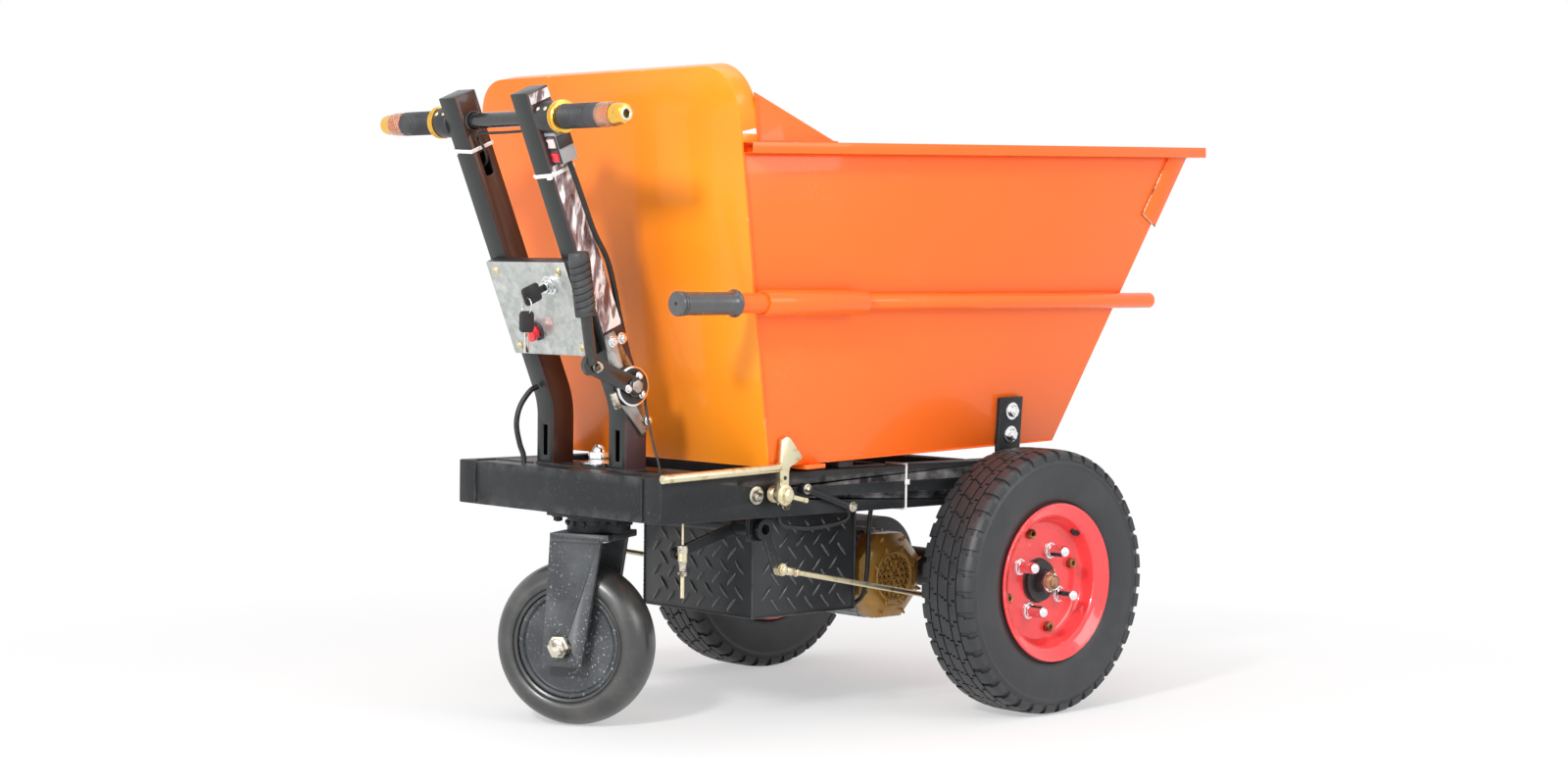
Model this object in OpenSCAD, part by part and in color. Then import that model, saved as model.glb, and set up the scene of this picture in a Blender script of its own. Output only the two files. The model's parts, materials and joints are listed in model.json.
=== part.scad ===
// Three wheel electric tipping cart that carries wet concrete on building sites.
// Millimetres. +X points forward, the way the tub tips, +Y to the left and +Z up.
// The origin is on the ground, below the middle of the cart's outline.
// Modules draw in the axle frame, with x counted from the drive axle, and place() sets the origin.

/* [Drive wheels] */
// Radius of the drive tyre
tyre_r = 200; // [192:1:208]
// Width of the drive tyre
tyre_w = 100; // [94:1:106]
// Gap between the edge of the tub's floor and the inner face of a drive tyre
tyre_gap = 21; // [18:1:34]
// Radius of the rim flange
rim_r = 118; // [115:1:121]
// Height of the rim flange above its bead seat
flange_h = 17; // [15:1:19]
// Sheet thickness of the split rim
rim_t = 4; // [3:0.5:4.5]
// Depth of the wheel disc inside the outer rim flange
dish_depth = 41; // [38:1:44]
// Radius of the flat part of the wheel disc
disc_r = 82; // [80:1:84]
// Radius of the centre opening of the wheel disc
disc_hole_r = 34; // [33:0.5:36]
// Radius of the circle of wheel nuts
nut_circle_r = 50; // [49:0.5:53]
// Length of a wheel nut
nut_len = 30; // [24:1:32]
// Radius of the drive shaft
shaft_r = 15; // [13:0.5:17]
// Radius of the axle housing tube
housing_r = 30; // [28:1:32]
// Number of tread blocks around a tyre shoulder
tread_count = 40; // [32:1:44]
// Depth of the tread
tread_depth = 8; // [5:0.5:10]

/* [Castor] */
// Radius of the castor tyre
castor_r = 120; // [112:1:124]
// Width of the castor tyre
castor_w = 76; // [70:1:80]
// Radius of the steel disc inside the castor tyre
castor_disc_r = 79; // [74:1:84]
// Distance of the castor axle behind the swivel axis
castor_trail = 34; // [28:1:40]
// Angle that the castor is turned to
castor_swing = 63; // [0:1:180]
// Distance of the swivel axis behind the drive axle
stem_back = 594; // [590:1:600]
// Radius of the castor stem
stem_r = 12; // [10:0.5:14]
// Thickness of the fork legs and the fork plate
fork_t = 10; // [8:0.5:12]
// Radius of the castor axle
castor_axle_r = 10; // [8:0.5:12]

/* [Chassis] */
// Distance of the frame's rear face behind the drive axle
frame_back = 674; // [668:1:690]
// Distance of the rail ends ahead of the drive axle
frame_front = 52; // [46:1:54]
// Width over the side rails
frame_w = 460; // [452:1:464]
// Width of the rail section
rail_w = 40; // [36:1:44]
// Height of the rail section
rail_h = 64; // [58:1:70]
// Wall of the rail section
rail_wall = 3; // [2:0.5:4]
// Height of the rails' underside above the ground
rail_under = 313; // [308:1:318]
// Thickness of the castor plates
deck_t = 6; // [5:0.5:8]
// Length of the castor plates
deck_len = 94; // [86:1:110]

/* [Steering column] */
// Width of the square upright tube
upright_w = 38; // [35:1:40]
// Wall of the upright tube
upright_wall = 3; // [2:0.5:4]
// Clear gap between the uprights
upright_gap = 126; // [116:1:136]
// Straight height of an upright above the deck
upright_base = 70; // [62:1:80]
// Bend radius on the rear face of an upright
upright_bend_r = 90; // [80:1:110]
// Angle that the uprights lean back
upright_lean = 22.7; // [18:0.1:26]
// Length of an upright above its bend
upright_len = 452; // [430:1:470]
// Radius of the handlebar
bar_r = 11; // [10:0.5:12]
// Distance from the middle of the handlebar to its ends
bar_reach = 273; // [262:1:284]
// Distance of the handlebar below the tops of the uprights
bar_drop = 41; // [36:1:50]
// Radius of the rubber grips
grip_r = 17; // [15:0.5:19]
// Length of the rubber grips
grip_len = 84; // [76:1:90]

/* [Control panel] */
// Width of the panel
panel_w = 176; // [168:1:190]
// Height of the panel
panel_h = 142; // [134:1:150]
// Depth of the box behind the panel
box_d = 16; // [16:0.5:22]
// Thickness of the panel sheet
panel_t = 2.5; // [2:0.5:3]
// Distance of the panel's middle above the bend of the uprights
panel_up = 141; // [136:1:150]
// Radius of the push button
button_r = 11; // [9:0.5:12]

/* [Parking brake] */
// Radius of the cable sheave
sheave_r = 28; // [25:1:30]
// Radius of the lever tube
lever_r = 8; // [7:0.5:9]
// Radius of the lever grip
lever_grip_r = 15; // [13:0.5:16]
// Radius of the cross shaft
cross_r = 11; // [10:0.5:12]
// Distance of the cross shaft behind the drive axle
cross_back = 460; // [455:1:468]
// Radius of the pull rods
pull_r = 4; // [3:0.5:4.5]
// Radius of the brake cable
cable_r = 1.8; // [1.4:0.1:2.2]

/* [Battery and motor] */
// Length of the battery box
battery_len = 210; // [200:1:214]
// Width of the battery box
battery_w = 244; // [230:1:260]
// Height of the battery box with its lid
battery_h = 161; // [150:1:170]
// Distance of the battery box's rear wall behind the drive axle
battery_back = 403; // [400:1:410]
// Wall of the battery box
battery_wall = 3; // [2:0.5:4]
// Radius of the motor
motor_r = 70; // [64:1:70]
// Distance of the motor axis behind the drive axle
motor_back = 106; // [106:1:112]
// Length of the motor body
motor_len = 92; // [84:1:100]

/* [Tub] */
// Distance of the hinge axis ahead of the drive axle
hinge_x = 12; // [8:1:14]
// Height of the hinge axis above the rails' underside
hinge_up = 32; // [30:1:34]
// Radius of the hinge pins
hinge_r = 8; // [7:0.5:9]
// Angle that the resting tub leans back
tub_seat = 1.7; // [1.2:0.1:2.2]
// Length of the tub floor behind the hinge
floor_back = 497; // [490:1:505]
// Length of the tub floor ahead of the hinge
floor_front = 109; // [100:1:116]
// Height of the tub floor above the hinge
floor_up = 55; // [54:0.5:60]
// Distance that the tub's floor reaches past the rails on each side
tub_step = 11; // [9:0.5:14]
// Width of the rear panel at its top
top_w = 586; // [570:1:600]
// Height of the rear panel above the floor
back_h = 560; // [540:1:580]
// Distance that the rear panel leans back
back_lean = 101; // [80:1:115]
// Height of the rim above the floor
rim_up = 456; // [440:1:470]
// Distance that the front wall leans forward
front_lean = 269; // [255:1:278]
// Reach of the rim rails past the front wall
rim_reach = 39.5; // [32:0.5:48]
// Width of the rim rail
rim_rail_w = 24; // [20:1:28]
// Height of the rim rail
rim_rail_h = 16; // [14:1:20]
// Thickness of the tub sheet
sheet_t = 4; // [3:0.5:5]
// Radius of the rear panel's upper corners
corner_r = 60; // [50:1:70]
// Depth of the rear panel's folded flange
flange_d = 32; // [28:1:38]
// Radius of the push bar tube
push_r = 12; // [11:0.5:13]
// Radius of the handle tube behind the tub
handle_r = 14; // [13:0.5:15]
// Radius of the sleeve that holds the handle tube
sleeve_r = 18; // [17:0.5:20]
// Height of the push bar above the hinge
push_up = 276; // [268:1:284]
// Angle of the push bar to the rim
push_slope = 1.4; // [1:0.1:1.8]
// Width of the hinge brackets
bracket_w = 50; // [46:1:54]
// Height of the hinge brackets above the hinge
bracket_h = 129; // [120:1:140]
// Thickness of the hinge brackets
bracket_t = 8; // [6:0.5:8]

/* [Latch] */
// Distance of the latch pivot behind the drive axle
latch_back = 467; // [462:1:472]
// Height of the latch pivot above the rails' underside
latch_up = 34; // [32:0.5:36]
// Thickness of the latch plate
latch_t = 10; // [8:0.5:12]
// Radius of the latch pivot bolt
latch_bolt_r = 6; // [5:0.5:7]
// Radius of the latch's release bar
release_r = 6; // [5:0.5:7]

/* [Hidden] */
$fn = 72;

// Shared clearances
// Overrun of every cut
over = 2;
// Gap between round pieces that are seated in one another
seat = 0.2;
// Radial clearance of a running fit
run = 0.05;
// Gap between pieces that pass each other
free = 0.4;

// Widths that follow the frame
floor_w = frame_w + 2 * tub_step;
track = floor_w + 2 * tyre_gap + tyre_w;

// Chassis places
rail_top = rail_under + rail_h;
frame_half = frame_w / 2;
rail_in = frame_half - rail_w;
rear_front = -frame_back + rail_w;
cross_backs = [battery_back - 2 * battery_wall, battery_back - battery_len + rail_w + 2 * battery_wall,
    rail_w + motor_r / 3];
hinge_z = rail_under + hinge_up;
deck_end = rear_front + deck_len;

// Column places
upright_rear = rear_front + 1.5 * upright_wall;
bend_z = rail_top + upright_base;
bend_end_x = upright_rear - upright_bend_r * (1 - cos(upright_lean));
bend_end_z = bend_z + upright_bend_r * sin(upright_lean);
upright_in = upright_gap / 2;
upright_out = upright_in + upright_w;
bar_up = upright_len - bar_drop;
clamp_r = 2 * bar_r;
clamp_len = 30;
ring_r = 23;
ring_len = 12;
end_r = 15;
clamp_in = upright_out + free;
ring_in = clamp_in + clamp_len;
grip_in = ring_in + ring_len + free;
end_in = grip_in + grip_len + free;

// Tub places, counted from the hinge axis
rim_z = floor_up + rim_up;
wall_z = rim_z - rim_rail_h;
side_taper = (top_w - floor_w) / 2 / back_h;
back_angle = atan(back_lean / back_h);
front_angle = atan(front_lean / (wall_z - floor_up));
back_sheet = sheet_t / cos(back_angle);
front_sheet = sheet_t / cos(front_angle);
function half_w(z) = floor_w / 2 + (z - floor_up) * side_taper;
function back_x(z) = -floor_back - (z - floor_up) * back_lean / back_h;
function front_x(z) = floor_front + (z - floor_up) * front_lean / (wall_z - floor_up);
function flange_x(z) = back_x(z) + flange_d / cos(back_angle);
rim_end = front_x(wall_z) + rim_reach;

// The outline's reach along X sets the origin
reach_back = upright_len * sin(upright_lean) - bend_end_x;
reach_front = hinge_x + rim_end * cos(tub_seat) - wall_z * sin(tub_seat);
axle_x = (reach_back - reach_front) / 2;

// Helpers
module place() { translate([axle_x, 0, 0]) children(); }
module pair() {
    children();
    mirror([0, 1, 0]) children();
}
module block(x, y, z) { translate([x[0], y[0], z[0]]) cube([x[1] - x[0], y[1] - y[0], z[1] - z[0]]); }
module rod_y(r, y) { translate([0, y[1], 0]) rotate([90, 0, 0]) cylinder(r = r, h = y[1] - y[0]); }
module plate_y(y) { translate([0, y[1], 0]) rotate([90, 0, 0]) linear_extrude(y[1] - y[0]) children(); }
module bar_x(x) { translate([x[0], 0, 0]) rotate([90, 0, 90]) linear_extrude(x[1] - x[0]) children(); }
module turned_y() { rotate([-90, 0, 0]) rotate_extrude() children(); }
module tube(r_out, r_in, h) {
    difference() {
        cylinder(r = r_out, h = h);
        translate([0, 0, -over]) cylinder(r = r_in, h = h + 2 * over);
    }
}
module rod(p, q, r) {
    d = q - p;
    translate(p) rotate([0, acos(d[2] / norm(d)), atan2(d[1], d[0])]) cylinder(r = r, h = norm(d));
}
module hex_y(r, y) { translate([0, y[1], 0]) rotate([90, 0, 0]) cylinder(r = r, h = y[1] - y[0], $fn = 6); }
// Bar between two round eyes, drawn in a little at its waist
waist_share = 0.84;
module strip(p, q, w) {
    d = q - p;
    waist = w * waist_share;
    translate(p) rotate(atan2(d[1], d[0])) translate([0, -waist / 2]) square([norm(d), waist]);
    translate(p) circle(w / 2);
    translate(q) circle(w / 2);
}
// Slot with bowed ends, long along x
module slot(l, w) {
    intersection() {
        translate([-l, -w / 2]) square([2 * l, w]);
        circle(l / 2);
    }
}
// The frame of the leaning uprights: z runs up their rear face, x goes into the tube
module lean(up) {
    translate([bend_end_x, 0, bend_end_z]) rotate([0, -upright_lean, 0]) translate([0, 0, up]) children();
}
module tub_place() { translate([hinge_x, 0, hinge_z]) rotate([0, -tub_seat, 0]) children(); }
module castor_place() { translate([-stem_back, 0, 0]) rotate([0, 0, -castor_swing]) children(); }
// A cord's tube swept along its route, each ring square to the route
function direction(p, i) = let (a = p[max(i - 1, 0)], b = p[min(i + 1, len(p) - 1)]) (b - a) / norm(b - a);
function ring(p, d, r, n) =
    let (side = cross(d, abs(d[0]) < 0.9 ? [1, 0, 0] : [0, 1, 0]), u = side / norm(side), v = cross(d, u))
    [for (k = [0:n - 1]) p + r * (cos(360 * k / n) * u + sin(360 * k / n) * v)];
function curve(p, i, t) =
    let (a = p[max(i - 1, 0)], b = p[i], c = p[i + 1], d = p[min(i + 2, len(p) - 1)])
    b + t * (c - a) / 2 + t * t * (a - 2.5 * b + 2 * c - d / 2) + t * t * t * (-a + 3 * b - 3 * c + d) / 2;
function smooth(p, m) = [for (i = [0:len(p) - 2]) for (k = [0:m - 1]) curve(p, i, k / m), p[len(p) - 1]];
module sweep(p, r, n) {
    points = [for (i = [0:len(p) - 1]) each ring(p[i], direction(p, i), r, n)];
    walls = [for (i = [0:len(p) - 2]) for (k = [0:n - 1])
        let (a = i * n + k, b = i * n + (k + 1) % n)
        each [[a, b, b + n], [a, b + n, a + n]]];
    first = [for (k = [1:n - 2]) [0, k + 1, k]];
    last = [for (k = [1:n - 2]) [0, k, k + 1] + (len(p) - 1) * n * [1, 1, 1]];
    polyhedron(points, [for (f = concat(walls, first, last)) [f[2], f[1], f[0]]]);
}

// Chassis
module box_section(x, y, z, t) {
    difference() {
        block(x, y, z);
        block([x[0] + t, x[1] - t], [y[0] + t, y[1] - t], [z[0] + t, z[1] - t]);
    }
}
module side_rails() color("#1c1e20") pair() difference() {
    box_section([-frame_back, frame_front], [rail_in, frame_half], [rail_under, rail_top], rail_wall);
    translate([hinge_x, 0, hinge_z]) rod_y(hinge_r + run, [rail_in - over, frame_half + over]);
    translate([-latch_back, 0, rail_under + latch_up])
        rod_y(latch_bolt_r + run, [frame_half - rail_wall - over, frame_half + over]);
}

cable_step = 9;
cable_x = -stem_back - cable_step;
cable_edge = 45;
cable_y = cable_edge - rail_in;
wire_step = 19;
wire_x = -stem_back + wire_step;
wire_edge = 40;
wire_y = wire_edge - rail_in;
wire_off = 13;
cable_hole_r = 4;
wire_hole_r = 8;
module deck(z) {
    difference() {
        block([rear_front, deck_end], [-rail_in, rail_in], [z, z + deck_t]);
        translate([-stem_back, 0, z - over]) cylinder(r = stem_r + run, h = deck_t + 2 * over);
        children();
    }
}
module cross_members() color("#1c1e20") {
    rail = [rail_under, rail_top];
    box_section([-frame_back, rear_front], [-rail_in, rail_in], rail, rail_wall);
    for (b = cross_backs) box_section([-b, -b + rail_w], [-rail_in, rail_in], rail, rail_wall);
    deck(rail_top - deck_t)
        translate([cable_x, cable_y, rail_top - deck_t - over])
            cylinder(r = cable_hole_r, h = deck_t + 2 * over);
    deck(rail_under)
        translate([wire_x, wire_y - wire_off, rail_under - over])
            cylinder(r = wire_hole_r, h = deck_t + 2 * over);
}

// Steering column
bend_steps = 12;
function bend_arc(r) = [for (i = [0:bend_steps]) let (a = i * upright_lean / bend_steps)
    [upright_rear - upright_bend_r + r * cos(a), bend_z + r * sin(a)]];
function backwards(p) = [for (i = [len(p) - 1:-1:0]) p[i]];
// Side outline of an upright, drawn in by the wall for its inside
module upright_side(inset) {
    rear = bend_arc(upright_bend_r + inset);
    front = bend_arc(upright_bend_r + upright_w - inset);
    up = (upright_len - inset) * [-sin(upright_lean), cos(upright_lean)];
    polygon(concat([[rear[0][0], rail_top + inset]], rear, [rear[bend_steps] + up, front[bend_steps] + up],
        backwards(front), [[front[0][0], rail_top + inset]]));
}
hole_up = 348;
hole_w = 14;
hole_len = 36;
slot_w = 10;
slot_len = 44;
slot_z = rail_top + upright_base / 2;
module upright() {
    difference() {
        plate_y([upright_in, upright_out]) upright_side(0);
        plate_y([upright_in + upright_wall, upright_out - upright_wall]) upright_side(upright_wall);
        lean(bar_up) translate([upright_w / 2, 0, 0])
            rod_y(bar_r + seat, [upright_in - over, upright_out + over]);
        // Slot low on the rear face
        translate([upright_rear - over, upright_in + upright_w / 2, slot_z]) rotate([0, 90, 0])
            linear_extrude(upright_wall + 2 * over) slot(slot_len, slot_w);
    }
}
module uprights() color("#1f2123") {
    // The left tube has a cable hole in its inner face
    difference() {
        upright();
        lean(hole_up) translate([upright_w / 2, 0, 0])
            plate_y([upright_in - over, upright_in + upright_wall + over])
                rotate(90) slot(hole_len, hole_w);
    }
    mirror([0, 1, 0]) upright();
}
module bar_place() { lean(bar_up) translate([upright_w / 2, 0, 0]) children(); }
module bar_sleeve(r_out, r_in, y) {
    difference() {
        rod_y(r_out, y);
        rod_y(r_in, [y[0] - over, y[1] + over]);
    }
}
bar_end_wall = 6;
module handlebar() color("#202224") bar_place()
    rod_y(bar_r, [bar_end_wall - bar_reach, bar_reach - bar_end_wall]);
lug_w = 12;
lug_h = 10;
module bar_clamps() color("#17181a") bar_place() pair() {
    bar_sleeve(clamp_r, bar_r + seat, [clamp_in, ring_in - free]);
    // Split lug of the clamp, on the front side
    block([clamp_r - over, clamp_r + lug_h], [clamp_in, clamp_in + clamp_len / 2], [-lug_w / 2, lug_w / 2]);
}
module gold_bar_fittings() color("#c98a2b") bar_place() pair() {
    bar_sleeve(ring_r, bar_r + seat, [ring_in, ring_in + ring_len]);
    // Bar end with its closed tip
    difference() {
        rod_y(end_r, [end_in, bar_reach]);
        rod_y(bar_r + seat, [end_in - over, bar_reach - bar_end_wall + seat]);
    }
}
rib_count = 9;
rib_depth = 1.2;
module hand_grip(bore) {
    turned_y() difference() {
        translate([bore, grip_in]) square([grip_r - bore, grip_len]);
        // Shallow grooves around the grip
        for (i = [1:rib_count])
            translate([grip_r, grip_in + i * grip_len / (rib_count + 1)]) circle(rib_depth);
    }
}
module left_grip() color("#232527") bar_place() hand_grip(bar_r + seat);
module throttle_grip() color("#232527") bar_place() mirror([0, 1, 0]) hand_grip(bar_r + run);

// Switch pod under the right clamp, in the frame of the handlebar
pod_x = [-12, 15];
pod_z = [-64, -16];
pod_w = 22;
pod_y = [clamp_in + free, clamp_in + free + pod_w];
rocker_w = 14;
rocker_h = 12;
rocker_d = 10;
rocker_proud = 3;
rocker_gap = 1;
rocker_edge = 4;
rocker_in = pod_y[0] + rocker_edge;
rocker_zs = [-33.5, -53.5];
rocker_pin_r = 1.5;
rocker_pin = 2;
rocker_pivot = 3;
rocker_pin_y = [rocker_in - rocker_gap - rocker_pin, rocker_in + rocker_w + rocker_gap + rocker_pin];
module pod_place() { bar_place() mirror([0, 1, 0]) children(); }
module switch_pod() color("#8c8e8f") pod_place() difference() {
    block(pod_x, pod_y, pod_z);
    rod_y(clamp_r + seat, [pod_y[0] - over, pod_y[1] + over]);
    for (z = rocker_zs)
        block([pod_x[0] - over, pod_x[0] + rocker_d],
            [rocker_in - rocker_gap, rocker_in + rocker_w + rocker_gap],
            [z - rocker_h / 2 - rocker_gap, z + rocker_h / 2 + rocker_gap]);
    // Holes for the rockers' pins
    for (z = rocker_zs) translate([pod_x[0] + rocker_pivot, 0, z])
        rod_y(rocker_pin_r + run, [rocker_pin_y[0] - seat, rocker_pin_y[1] + seat]);
}
module rocker(z) {
    pod_place() translate([pod_x[0] - rocker_proud, 0, z]) plate_y([rocker_in, rocker_in + rocker_w])
        polygon([[0, rocker_h / 2], [rocker_proud / 2, 0], [0, -rocker_h / 2], [rocker_d, -rocker_h / 2],
            [rocker_d, rocker_h / 2]]);
    pod_place() translate([pod_x[0] + rocker_pivot, 0, z]) rod_y(rocker_pin_r, rocker_pin_y);
}
module upper_rocker() color("#e9c9c4") rocker(rocker_zs[0]);
module lower_rocker() color("#d8222c") rocker(rocker_zs[1]);

// Control panel on the uprights
panel_x = -box_d - panel_t;
// Places on the panel, as shares of its width and height
key_shares = [-0.256, 0.268];
button_shares = [0.108, -0.239];
key_place = [key_shares[0] * panel_w, key_shares[1] * panel_h];
button_place = [button_shares[0] * panel_w, button_shares[1] * panel_h];
lock_r = 8;
lock_nose = 9;
lock_flange_r = 11;
lock_flange = 4;
plug_r = 5;
shank_r = 8;
collar_r = 14;
collar_h = 4;
module on_panel(p) { lean(panel_up) translate([panel_x, p[0], p[1]]) rotate([0, -90, 0]) children(); }
module panel_hole(p, r) {
    on_panel(p) translate([0, 0, -panel_t - over]) cylinder(r = r, h = panel_t + 2 * over);
}
module control_panel() color("#b9bcb8") difference() {
    lean(panel_up) block([panel_x, -box_d], [-panel_w / 2, panel_w / 2], [-panel_h / 2, panel_h / 2]);
    panel_hole(key_place, lock_r + seat);
    panel_hole(button_place, shank_r + free);
}
module panel_box() color("#1a1b1d") lean(panel_up) difference() {
    block([-box_d, 0], [-panel_w / 2, panel_w / 2], [-panel_h / 2, panel_h / 2]);
    translate([-panel_t, 0, 0]) block([-box_d - over, 0], [panel_t - panel_w / 2, panel_w / 2 - panel_t],
        [panel_t - panel_h / 2, panel_h / 2 - panel_t]);
}
lock_tail = box_d - panel_t - 2 * free;
module key_switch() color("#c9cacb") on_panel(key_place) difference() {
    union() {
        cylinder(r = lock_flange_r, h = lock_flange);
        translate([0, 0, -panel_t - lock_tail])
            cylinder(r = lock_r, h = panel_t + lock_tail + lock_flange + lock_nose);
    }
    translate([0, 0, -panel_t]) cylinder(r = plug_r + run, h = panel_t + lock_flange + lock_nose + over);
}
key_head = 30;
key_w = 26;
key_t = 4;
key_neck = 8;
key_neck_w = 8;
key_hole_r = 3.4;
key_hole_in = 6;
ring_wire_r = 1;
key_ring_r = 11;
plug_face = lock_flange + lock_nose;
key_hole_z = plug_face + key_neck + key_head - key_hole_in;
module ignition_key() color("#1b1c1e") on_panel(key_place) {
    translate([0, 0, -panel_t + free]) cylinder(r = plug_r, h = panel_t - free + plug_face);
    difference() {
        union() {
            translate([-key_neck_w / 2, -key_t / 2, plug_face]) cube([key_neck_w, key_t, key_neck]);
            translate([-key_w / 2, -key_t / 2, plug_face + key_neck]) cube([key_w, key_t, key_head]);
        }
        translate([0, 0, key_hole_z]) rod_y(key_hole_r, [-key_t, key_t]);
    }
}
spare_len = 30;
spare_w = 24;
blade_len = 30;
blade_w = 8;
// The ring hangs from the key's hole and the spare key hangs from the ring, straight down
module spare_key() color("#1b1c1e") on_panel(key_place) translate([0, 0, key_hole_z]) rotate([0, 90, 0])
    rotate([0, upright_lean, 0]) translate([0, 0, ring_wire_r + 2 * free - key_hole_r]) {
        translate([0, 0, -key_ring_r]) rotate([0, 90, 0]) rotate_extrude() translate([key_ring_r, 0])
            circle(ring_wire_r);
        translate([0, 0, -2 * key_ring_r + ring_wire_r + free - key_hole_r]) difference() {
            union() {
                translate([-spare_w / 2, -key_t / 2, key_hole_in - spare_len])
                    cube([spare_w, key_t, spare_len]);
                translate([-blade_w / 2, -key_t / 4, key_hole_in - spare_len - blade_len])
                    cube([blade_w, key_t / 2, blade_len]);
            }
            rod_y(key_hole_r, [-key_t, key_t]);
        }
    }
button_h = 10;
button_travel = 4;
button_gap = 1.5;
button_lift = collar_h + button_gap;
module push_button() color("#d3202b") on_panel(button_place) {
    translate([0, 0, button_lift]) cylinder(r = button_r, h = button_h);
    translate([0, 0, button_travel - panel_t - lock_tail])
        cylinder(r = shank_r, h = lock_tail + panel_t + button_lift - button_travel);
}
module button_collar() color("#151617") on_panel(button_place) tube(collar_r, button_r + free, collar_h);

// Parking brake on the outer face of the right upright, in the frame of the uprights
sheave_place = [10, 14];
lever_foot = [-52, 74];
lever_top = [-17, 223];
brake_plate_t = 5;
sheave_w = 14;
lever_plate_t = 6;
plate_out = upright_out + brake_plate_t;
sheave_in = plate_out + free;
lever_in = sheave_in + sheave_w;
pivot_r = 6;
pivot_head_r = 10;
pivot_head = 4;
lever_plate_w = 30;
brake_plate_h = lever_foot[1] + lever_plate_t + lever_plate_w * 2 / 3;
bracket_shares = [[0, 0.95], [0.47, 0.95], [0.95, 0.1], [0.63, -0.58], [0.26, -0.64], [-0.3, 0.02]];
module brake_side() { lean(0) mirror([0, 1, 0]) children(); }
module brake_bracket() color("#55585a") brake_side() {
    plate_y([upright_out, plate_out])
        polygon([for (s = bracket_shares) [s[0] * upright_w, s[1] * brake_plate_h]]);
    translate([sheave_place[0], 0, sheave_place[1]]) {
        rod_y(pivot_r, [plate_out, lever_in + lever_plate_t + free]);
        hex_y(pivot_head_r, [lever_in + lever_plate_t + free, lever_in + lever_plate_t + free + pivot_head]);
    }
}
groove = 3;
module brake_sheave() color("#2a2c2e") brake_side() translate([sheave_place[0], 0, sheave_place[1]])
    turned_y() difference() {
        translate([pivot_r + run, sheave_in]) square([sheave_r - pivot_r - run, sheave_w]);
        translate([sheave_r, sheave_in + sheave_w / 2]) circle(groove);
    }
lever_y = lever_in + lever_plate_t;
module brake_lever() color("#303335") brake_side() {
    difference() {
        plate_y([lever_in, lever_in + lever_plate_t]) strip(sheave_place, lever_foot, lever_plate_w);
        translate([sheave_place[0], 0, sheave_place[1]])
            rod_y(pivot_r + run, [lever_in - over, lever_in + lever_plate_t + over]);
    }
    rod([lever_foot[0], lever_y, lever_foot[1]], [lever_top[0], lever_y, lever_top[1]], lever_r);
}
lever_grip_len = 90;
grip_end = 5;
grip_ribs = 7;
lever_dir = (lever_top - lever_foot) / norm(lever_top - lever_foot);
module brake_lever_grip() color("#1d1f21") brake_side()
    translate([lever_top[0], lever_y, lever_top[1]])
        rotate([0, atan2(lever_dir[0], lever_dir[1]), 0]) translate([0, 0, grip_end - lever_grip_len])
            rotate_extrude() difference() {
                union() {
                    translate([lever_r + seat, 0]) square([lever_grip_r - lever_r - seat, lever_grip_len]);
                    translate([0, lever_grip_len - grip_end + seat]) square([lever_grip_r, grip_end - seat]);
                }
                // Finger grooves
                for (i = [1:grip_ribs])
                    translate([lever_grip_r, i * lever_grip_len / (grip_ribs + 1)]) circle(rib_depth);
            }
// Route of the brake cable from the sheave to the deck
cable_route = [[-606.2, -113.4, 494], [-606, -116, 470], [-605, -124, 440], [-604, -134, 410],
    [-603, -142, 388], [-603, -145, 373]];
module brake_cable() color("#141516") sweep(smooth(cable_route, 2), cable_r, 8);

// Brake linkage under the frame
cross_gap = 8;
cross_z = rail_under - cross_r - cross_gap;
link_t = 6;
hanger_step = 3;
hanger_y = rail_in + hanger_step;
hanger_gap = 6;
cross_out = hanger_y + link_t + hanger_gap;
link_fall = [24, -58];
arm_fall = [-115, -32];
pin_r = 4;
eye_r = 9;
arm_w = 18;
boss_r = 15;
tube_depth = 24;
module cross_place() { translate([-cross_back, 0, cross_z]) children(); }
// Lever plate with a boss on its shaft and an eye at its far end
module lever_arm(far) {
    circle(boss_r);
    strip([0, 0], far, arm_w);
}
module brake_shaft() color("#26282a") cross_place() difference() {
    union() {
        rod_y(cross_r, [-cross_out - link_t / 2, cross_out + link_t / 2]);
        // Levers that pull the rods, with their pins
        pair() {
            plate_y([cross_out, cross_out + link_t]) lever_arm(link_fall);
            translate([link_fall[0], 0, link_fall[1]])
                rod_y(pin_r, [cross_out + link_t / 2, rod_y1 + 3 * free]);
        }
        // Arm that the cable pulls
        plate_y([wire_y - link_t / 2, wire_y + link_t / 2]) lever_arm(arm_fall);
    }
    // Open tube ends, and the hole for the adjuster's pin
    pair() rod_y(cross_r - rail_wall, [cross_out - tube_depth, cross_out + link_t + over]);
    translate([arm_fall[0], 0, arm_fall[1]]) rod_y(pin_r + run, [wire_y - link_t, wire_y + link_t]);
}
barrel_r = 7;
barrel_h = 20;
stud_r = 3;
stud_len = 62;
wire_rise = 78;
module cable_adjuster() color("#cfc7a6") cross_place() translate([arm_fall[0], wire_y, arm_fall[1]]) {
    // Cross pin with the barrel beside the arm, threaded stud below and wire above
    rod_y(pin_r, [-wire_off, link_t]);
    translate([0, -wire_off, 0]) {
        translate([0, 0, -barrel_h / 2]) cylinder(r = barrel_r, h = barrel_h);
        translate([0, 0, -stud_len]) cylinder(r = stud_r, h = stud_len);
        cylinder(r = cable_r, h = wire_rise);
    }
}
rod_y0 = cross_out + link_t + free;
eye_t = 10;
rod_y1 = rod_y0 + eye_t;
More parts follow.
